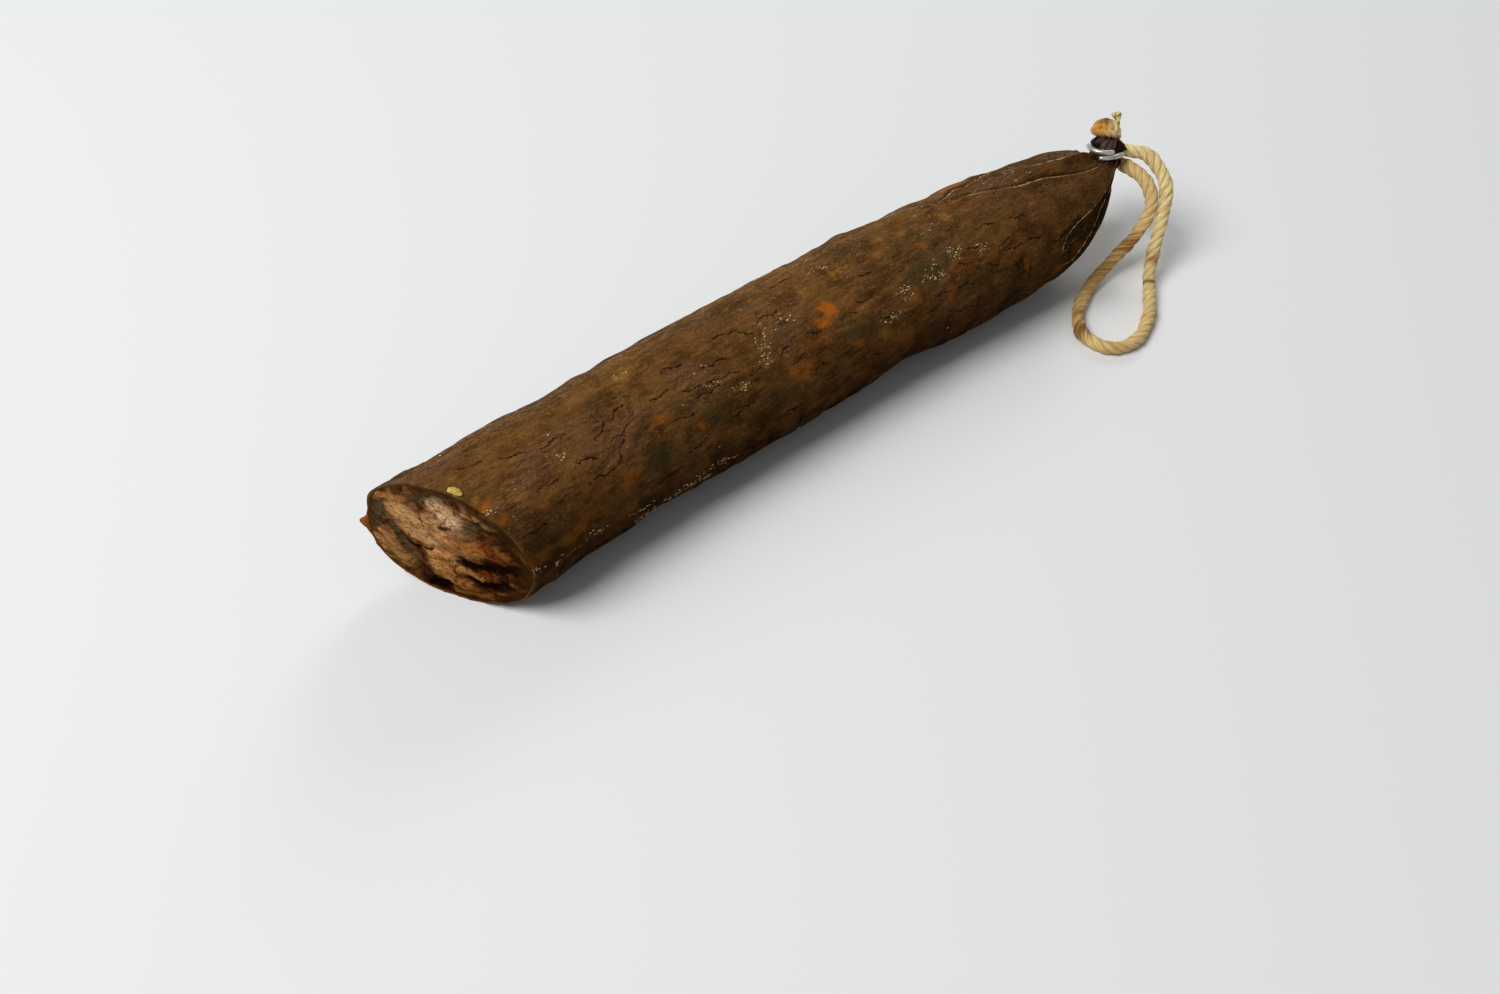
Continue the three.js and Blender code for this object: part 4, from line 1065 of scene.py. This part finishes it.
seam = bell(grain(bent_spot / 5.0, 34) / 0.06) * ease(-0.2, 0.3, grain(spot / 4.0, 35))
tone = tinted(tone, 0.8 * seam, (0.7, 0.86, 0.92))
raised = raised - 0.15 * seam
reach_out = reach[:, None] * np.ones_like(u)
edge = ease(0.965, 1.0, reach_out) * (1 - 0.8 * ease(-2, 8, u + 0.6 * v))
outskirts = ease(0.72, 0.95, reach_out + 0.05 * fray) * ease(0, 10, u + 0.5 * v)
tone = tone + 0.8 * outskirts[..., None] * (np.array([0.046, 0.02, 0.0055]) - tone)
tone = tinted(tone, fade(-16, 8, v + 0.5 * u), (0.1, 0.18, 0.38))
tone = tinted(tone, ease(-6, 22, 0.8 * u - 0.5 * v), (0.32, 0.42, 0.56))
tone = tinted(tone, fade(-25, -15, v), (0.3, 0.42, 0.6))
bulge = 0.7 * (1 - reach_out**4) + raised + 0.16 * grain(spot / 1.2, 26) + 0.08 * grain(spot / 0.6, 27)
bulge = bulge * fade(0.975, 1.0, reach_out) - 0.12 * edge
face = flat_face + bulge[..., None] * CUT_NORMAL

# The rest of the filling, hidden in the skin
depth = (np.arange(1, INNER_ROWS + 1) / INNER_ROWS) ** 1.2
inner_x = rim_x + (INNER_END - rim_x) * depth[:, None]
closing = np.clip((inner_x - CLOSING[0]) / (CLOSING[1] - CLOSING[0]), 0, 1)
shrink = (plain_radius(inner_x) - SKIN) * (1 - np.sqrt(1 - closing**4))
wide_angles = np.broadcast_to(fill_angles, inner_x.shape)
inner = body_point(inner_x, wide_angles, FILL_INSET + 1.1, rim_waver(wide_angles, inner_x - rim_x) - shrink)
points, faces = closed_tube(np.vstack([face, inner]), centre + CUT_NORMAL * 0.9, spine(INNER_TIP))
inner_points = inner.reshape(-1, 3)
behind = len(inner_points)
tones = [tone.reshape(-1, 3), np.tile(INNER_TONE, (behind, 1)), tone[0].mean(axis=0), INNER_TONE]
flow = np.vstack([bent_spot.reshape(-1, 3), (inner_points - centre)[:, [1, 2, 0]], [0, 0, 0], [0, 0, 300]])

boar, tree, shader = new_material("cured boar meat")
lie = mask_of(tree, "flow", "Vector")
flesh = mask_of(tree, "tone", "Vector")
paleness = add(tree, "SeparateXYZ", Vector=flesh).outputs[0]
pimples, _, blotches = cured_surface(lie, 1.1)
fibres = add(tree, "Mapping", Vector=lie, Rotation=(0.0, 0.0, 0.45), Scale=(0.35, 1.7, 1.0)).outputs[0]
threads = clouds_at(fibres, 1, 5, 0.62)[0]
flesh = blend(between(threads, 0.36, 0.5, 0.75, 0), flesh, (0.36, 0.23, 0.15), "MULTIPLY")
flesh = blend(between(threads, 0.5, 0.7), flesh, (1.45, 1.42, 1.4), "MULTIPLY")
flesh = blend(between(pimples, 0.36, 0.44, 0.65, 0), flesh, (0.3, 0.17, 0.1), "MULTIPLY")
flesh = blend(times(mask_of(tree, "edge"), 0.5), flesh, (0.17, 0.066, 0.013))
oiled = times(between(blotches, 0.48, 0.66, 0, 0.3), between(paleness, 0.05, 0.3))
texture = maths("ADD", threads, times(pimples, 0.6))
fill(
    shader, Base_Color=flesh, Roughness=between(blotches, 0.35, 0.65, 0.32, 0.52), Specular_IOR_Level=0.005,
    Coat_Weight=oiled, Coat_Roughness=0.25, Normal=bumped(texture, 0.8, 0.0006),
)

filling = make_piece("filling", points, faces, boar, {
    "flow": flow, "tone": np.vstack(tones), "edge": np.r_[edge.ravel(), np.full(behind, 0.5), 0, 0.5],
})
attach(filling, "root")
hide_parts("meat")

# Crumb of fat that the knife dragged out over the upper rim of the cut. It is a small knobbly lump of the
# filling's own pale fat, stuck to the skin.
CRUMB_ANGLE = math.radians(98)
CRUMB_HALF = np.array([2.9, 1.3, 1.35])
CRUMB_TONE = [0.68, 0.46, 0.125]
BALL_RINGS = 17
BALL_AROUND = 32
UP = np.array([0.0, 0.0, 1.0])
crumb_seat = body_point(cut_station(CRUMB_ANGLE) + 2.1, CRUMB_ANGLE)
crumb_long = unit(np.cross(UP, CUT_NORMAL))
crumb_axes = np.stack([crumb_long, np.cross(UP, crumb_long), UP])
polar = np.linspace(0, np.pi, BALL_RINGS + 2)[1:-1]
azimuth = np.arange(BALL_AROUND) * 2 * np.pi / BALL_AROUND
polar, azimuth = np.meshgrid(polar, azimuth, indexing="ij")
ball_rings = np.stack([np.sin(polar) * np.cos(azimuth), np.sin(polar) * np.sin(azimuth), np.cos(polar)], -1)
ball, ball_faces = closed_tube(ball_rings, UP, -UP)
ball_faces = [tuple(reversed(face)) for face in ball_faces]
knobbly = ball * (1 + 0.3 * grain(ball * 1.3, 31) + 0.16 * grain(ball * 2.8, 32))[:, None]
knobbly[:, 0] *= 1 - 0.5 * np.clip(ball[:, 2], -0.2, 1)
fat_crumb = make_piece("fat_crumb", crumb_seat + (knobbly * CRUMB_HALF) @ crumb_axes, ball_faces, boar, {
    "flow": ball * 3, "tone": np.tile(CRUMB_TONE, (len(ball), 1)), "edge": np.zeros(len(ball)),
})
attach(fat_crumb, "root")

# Clip: a length of soft round aluminium wire, closed tight round the gathered neck by a hand clipper.
# Its two cut ends pass each other at the front.
WIRE_RADIUS = 1.08
WIRE_AROUND = 20
WIRE_STEP = 0.35
# Each place on the wire, in the clip's own frame: degrees round the neck, distance from its axis, height
WIRE_PLACES = [
    [-119, 8.1, -1.9], [-98, 7.7, -1.3], [-78, 7.5, -0.6], [-56, 7.4, 0.2], [-34, 7.5, 0.9], [-8, 8, 1.5],
    [22, 8.6, 2.3], [50, 8.9, 2.6], [80, 8, 2.5], [108, 7.5, 2.2], [140, 7.4, 2], [168, 7.6, 2.1],
    [190, 7.8, 1.7], [212, 7.9, 1], [235, 7.8, 0.75], [258, 7.4, 1], [276, 6.9, 1.4], [290, 6.5, 1.7],
]


def from_clip(local):
    """Points given in the clip's own frame: right, back and along the neck."""
    return CLIP_CENTRE + np.asarray(local, float) @ clip_frame


wire_route = [[r * math.cos(math.radians(d)), r * math.sin(math.radians(d)), z] for d, r, z in WIRE_PLACES]
wire_line, wire_at = smooth_line(from_clip(wire_route), WIRE_STEP)
dents = 1 + 0.07 * grain(np.stack([wire_at / 1.9, wire_at * 0, wire_at * 0], 1), 41)
from_end = np.minimum(wire_at, wire_at[-1] - wire_at)
snipped = 1 - 0.28 * fade(0, 0.8, from_end)
points, faces = round_tube(wire_line, (WIRE_RADIUS * dents * snipped)[:, None], WIRE_AROUND, (0.12, 0.12))

soft_wire, tree, shader = new_material("soft aluminium wire")
pimples, creases, blotches = cured_surface(add(tree, "TexCoord").outputs["Object"], 1400.0)
metal = blend(between(blotches, 0.35, 0.65), (0.46, 0.44, 0.37), (0.7, 0.69, 0.65))
metal = layered(metal, [(pimples, 0.58, 0.72, 0, 0.55, (0.3, 0.26, 0.17))])
fill(
    shader, Base_Color=metal, Metallic=0.8, Roughness=between(pimples, 0.3, 0.7, 0.34, 0.52),
    Normal=bumped(creases, 0.4, 0.00012),
)
wire_clip = make_piece("wire_clip_round", points, faces, soft_wire, {})
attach(wire_clip, "root")
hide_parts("wire_clip")

# Knot: the two ends of the twine, brought up behind the tail and tied in a hard round knot above it.
# Its short cut ends stand up in a frayed tuft. Its left side and top are browned and darkened, and a band of
# painted shade browns its lower edge.
TIE_ROUTES = [
    [[-1.2, 4.2, 10.6], [0.8, 6.5, 7.4], [2.8, 6.2, 4.4], [3.8, 4.6, 1.8], [3.8, 4.5, -1.4],
        [4.4, 5.2, -3.4], [6.2, 6.6, -4.2], [8.2, 6.8, -3.8], [9.7, 5.6, -3.3]],
    [[-0.2, 4, 11.4], [3.8, 6.3, 8], [7.4, 6, 5.2], [9.6, 4.2, 3.6], [11.5, 2.8, 3]],
]
KNOT_MIDDLE = np.array([-1.4, 2.2, 10.2])
KNOT_HALF = np.array([5.5, 4.0, 3.6])
# The turns are pulled together sideways, towards the left end of the knot
KNOT_LEFT = -6.0
KNOT_DRAWN_IN = 0.92
# Each turn of the knot: its radius and the points that it runs through
KNOT_TURNS = [
    [2, [[4.2, 4.6, 8.6], [4.9, 1.6, 8.7], [2.2, -0.9, 8.6], [-1.4, -1.7, 8.7], [-4.8, -0.9, 8.8],
        [-6.3, 1.6, 8.9], [-5, 4.4, 9.2], [-1.4, 5.4, 9.6]]],
    [2.15, [[-6, 1.2, 8.8], [-6.1, 0.6, 10.4], [-5, 0.4, 12], [-2.9, 0.9, 12.9], [-0.6, 1.7, 13],
        [1.8, 2.3, 12], [3.6, 2.6, 10.2]]],
    [2.05, [[4.2, 0.6, 8.6], [3.6, -0.2, 10.4], [1.8, -0.3, 11.8], [-0.6, 0.2, 12.4], [-3.2, 1.8, 12.2],
        [-4.6, 3.6, 10.8]]],
    [1.9, [[0.4, -1, 8.4], [-1, -1.3, 10], [-2.8, -0.7, 11.4], [-4.4, 0.8, 11.8]]],
]
TUFT_ENDS = [
    [1.1, [[1.6, 1.6, 11.6], [2.1, 1.3, 13.2], [2.1, 1.1, 14.6], [1.2, 1, 16.2], [-0.1, 1, 17.2]]],
    [1.2, [[2.4, 1.6, 11.6], [2.6, 1.3, 13.4], [2.4, 1.1, 15], [2.1, 1, 16.6], [2, 1, 18]]],
]
core = KNOT_MIDDLE + ball * KNOT_HALF
# The core of the knot is darkened all over by painted shade
knot_parts = [(from_clip(core), ball_faces, core * 1.2, np.full(len(core), 0.6))]
for radius, route in KNOT_TURNS:
    drawn_in = [[KNOT_LEFT + KNOT_DRAWN_IN * (right - KNOT_LEFT), back, up] for right, back, up in route]
    line, at = smooth_line(from_clip(drawn_in), 0.4)
    knot_parts.append(rope(line, at, np.full(len(line), radius), 3, 9.0, seed=radius))
for index, route in enumerate(TIE_ROUTES):
    line, at = smooth_line(from_clip(route), 0.4)
    swell = 1.45 + 0.6 * ease(at[-1] - 5, at[-1], at)
    knot_parts.append(rope(line, at, swell, 3, 9.5, seed=4 + index))
for index, (radius, route) in enumerate(TUFT_ENDS):
    line, at = smooth_line(from_clip(route), 0.35)
    spread = radius * (1 + 0.3 * ease(at[-1] - 2, at[-1], at))
    knot_parts.append(rope(line, at, spread, 2, 7.0, seed=7 + index))
all_points, part_faces, all_fibre, all_hollow = zip(*knot_parts)
firsts = np.cumsum([0] + [len(part) for part in all_points])
all_faces = []
for first, part in zip(firsts, part_faces):
    all_faces += [tuple(corner + first for corner in face) for face in part]
points = np.vstack(all_points)
right, back, up = ((points - CLIP_CENTRE) @ clip_frame.T).T
amber = np.clip(1.3 * bell(np.hypot((right + 5.8) / 4.0, (up - 11.0) / 3.8)), 0, 0.9) * (up > 6)
browned_and_shaded = 0.9 * bell(np.hypot((right + 4.2) / 2.8, (up - 13.6) / 1.7))
# A band of painted shade round the lower edge of the knot, where it sits on the tail
browned_and_shaded = np.maximum(browned_and_shaded, 0.55 * bell((up - 7.2) / 1.6) * (up > 5))
blackened = 0.9 * bell(np.hypot((right + 3.0) / 2.2, (up - 14.8) / 1.3))
twine_knot = make_piece("tied_knot", points, all_faces, hemp, {
    "fibre": np.vstack(all_fibre), "hollow": np.concatenate(all_hollow), "rust": browned_and_shaded, "dark": blackened,
    "amber": amber,
})

# Frayed ends of the tuft: fine hemp fibres that spread into a short brush where the twine was cut off above
# the knot. They stand in its two cut ends and follow their way.
FRAY_HAIRS = 60
FRAY_RADIUS = 0.11
FRAY_RINGS = 4
draw = random.Random(5)
hair_points, hair_faces = [], []
for hair in range(FRAY_HAIRS):
    radius, route = TUFT_ENDS[hair % 2]
    below, top = np.array(route[-2:])
    base = top + (draw.uniform(-0.8, 0.8), draw.uniform(-0.8, 0.8), draw.uniform(-1.6, 0))
    way = unit(top - below) + (draw.uniform(-0.4, 0.4), draw.uniform(-0.4, 0.4), 0)
    length = draw.uniform(0.6, 1.4)
    hair_faces += hair_faces_from(len(hair_points), FRAY_RINGS)
    for t in np.linspace(0, 1, FRAY_RINGS):
        middle = base + way * length * t + (draw.uniform(-0.05, 0.05), draw.uniform(-0.05, 0.05), 0)
        hair_points += hair_ring(middle, *np.eye(3)[:2], FRAY_RADIUS * (1 - 0.6 * t))
hair_points = from_clip(hair_points)
tuft_fray = make_piece("tuft_fray", hair_points, hair_faces, hemp, {"fibre": hair_points * 0.3})
for piece in (twine_knot, tuft_fray):
    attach(piece, "root")
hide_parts("twine_knot")

# Pale floor and soft daylight from above and from the left
floor_mesh = bpy.data.meshes.new("floor")
floor_mesh.from_pydata([(-4, -4, 0), (4, -4, 0), (4, 4, 0), (-4, 4, 0)], [], [(0, 1, 2, 3)])
floor_material, tree, shader = new_material("floor")
fill(shader, Base_Color=(0.78, 0.79, 0.79, 1), Roughness=0.9, Specular_IOR_Level=0.1)
floor_mesh.materials.append(floor_material)
floor = bpy.data.objects.new("floor", floor_mesh)
bpy.context.scene.collection.objects.link(floor)
# Each lamp: place, side of the square in metres, watts. Both point at the middle of the floor
LAMPS = [[(-1.3, 0.38, 1.95), 1.3, 50.0], [(1.26, 0.9, 1.0), 0.7, 8.0]]
for index, (lamp_place, size, watts) in enumerate(LAMPS):
    lamp_data = bpy.data.lights.new("lamp_%d" % index, "AREA")
    lamp_data.size = size
    lamp_data.energy = watts
    lamp = bpy.data.objects.new("lamp_%d" % index, lamp_data)
    lamp.location = lamp_place
    lamp.rotation_mode = "QUATERNION"
    lamp.rotation_quaternion = (-Vector(lamp_place)).to_track_quat("-Z", "Y")
    bpy.context.scene.collection.objects.link(lamp)
world = bpy.data.worlds.new("daylight")
world.use_nodes = True
world.node_tree.nodes["Background"].inputs[0].default_value = (0.97, 0.985, 1.0, 1)
world.node_tree.nodes["Background"].inputs[1].default_value = 0.21
bpy.context.scene.world = world
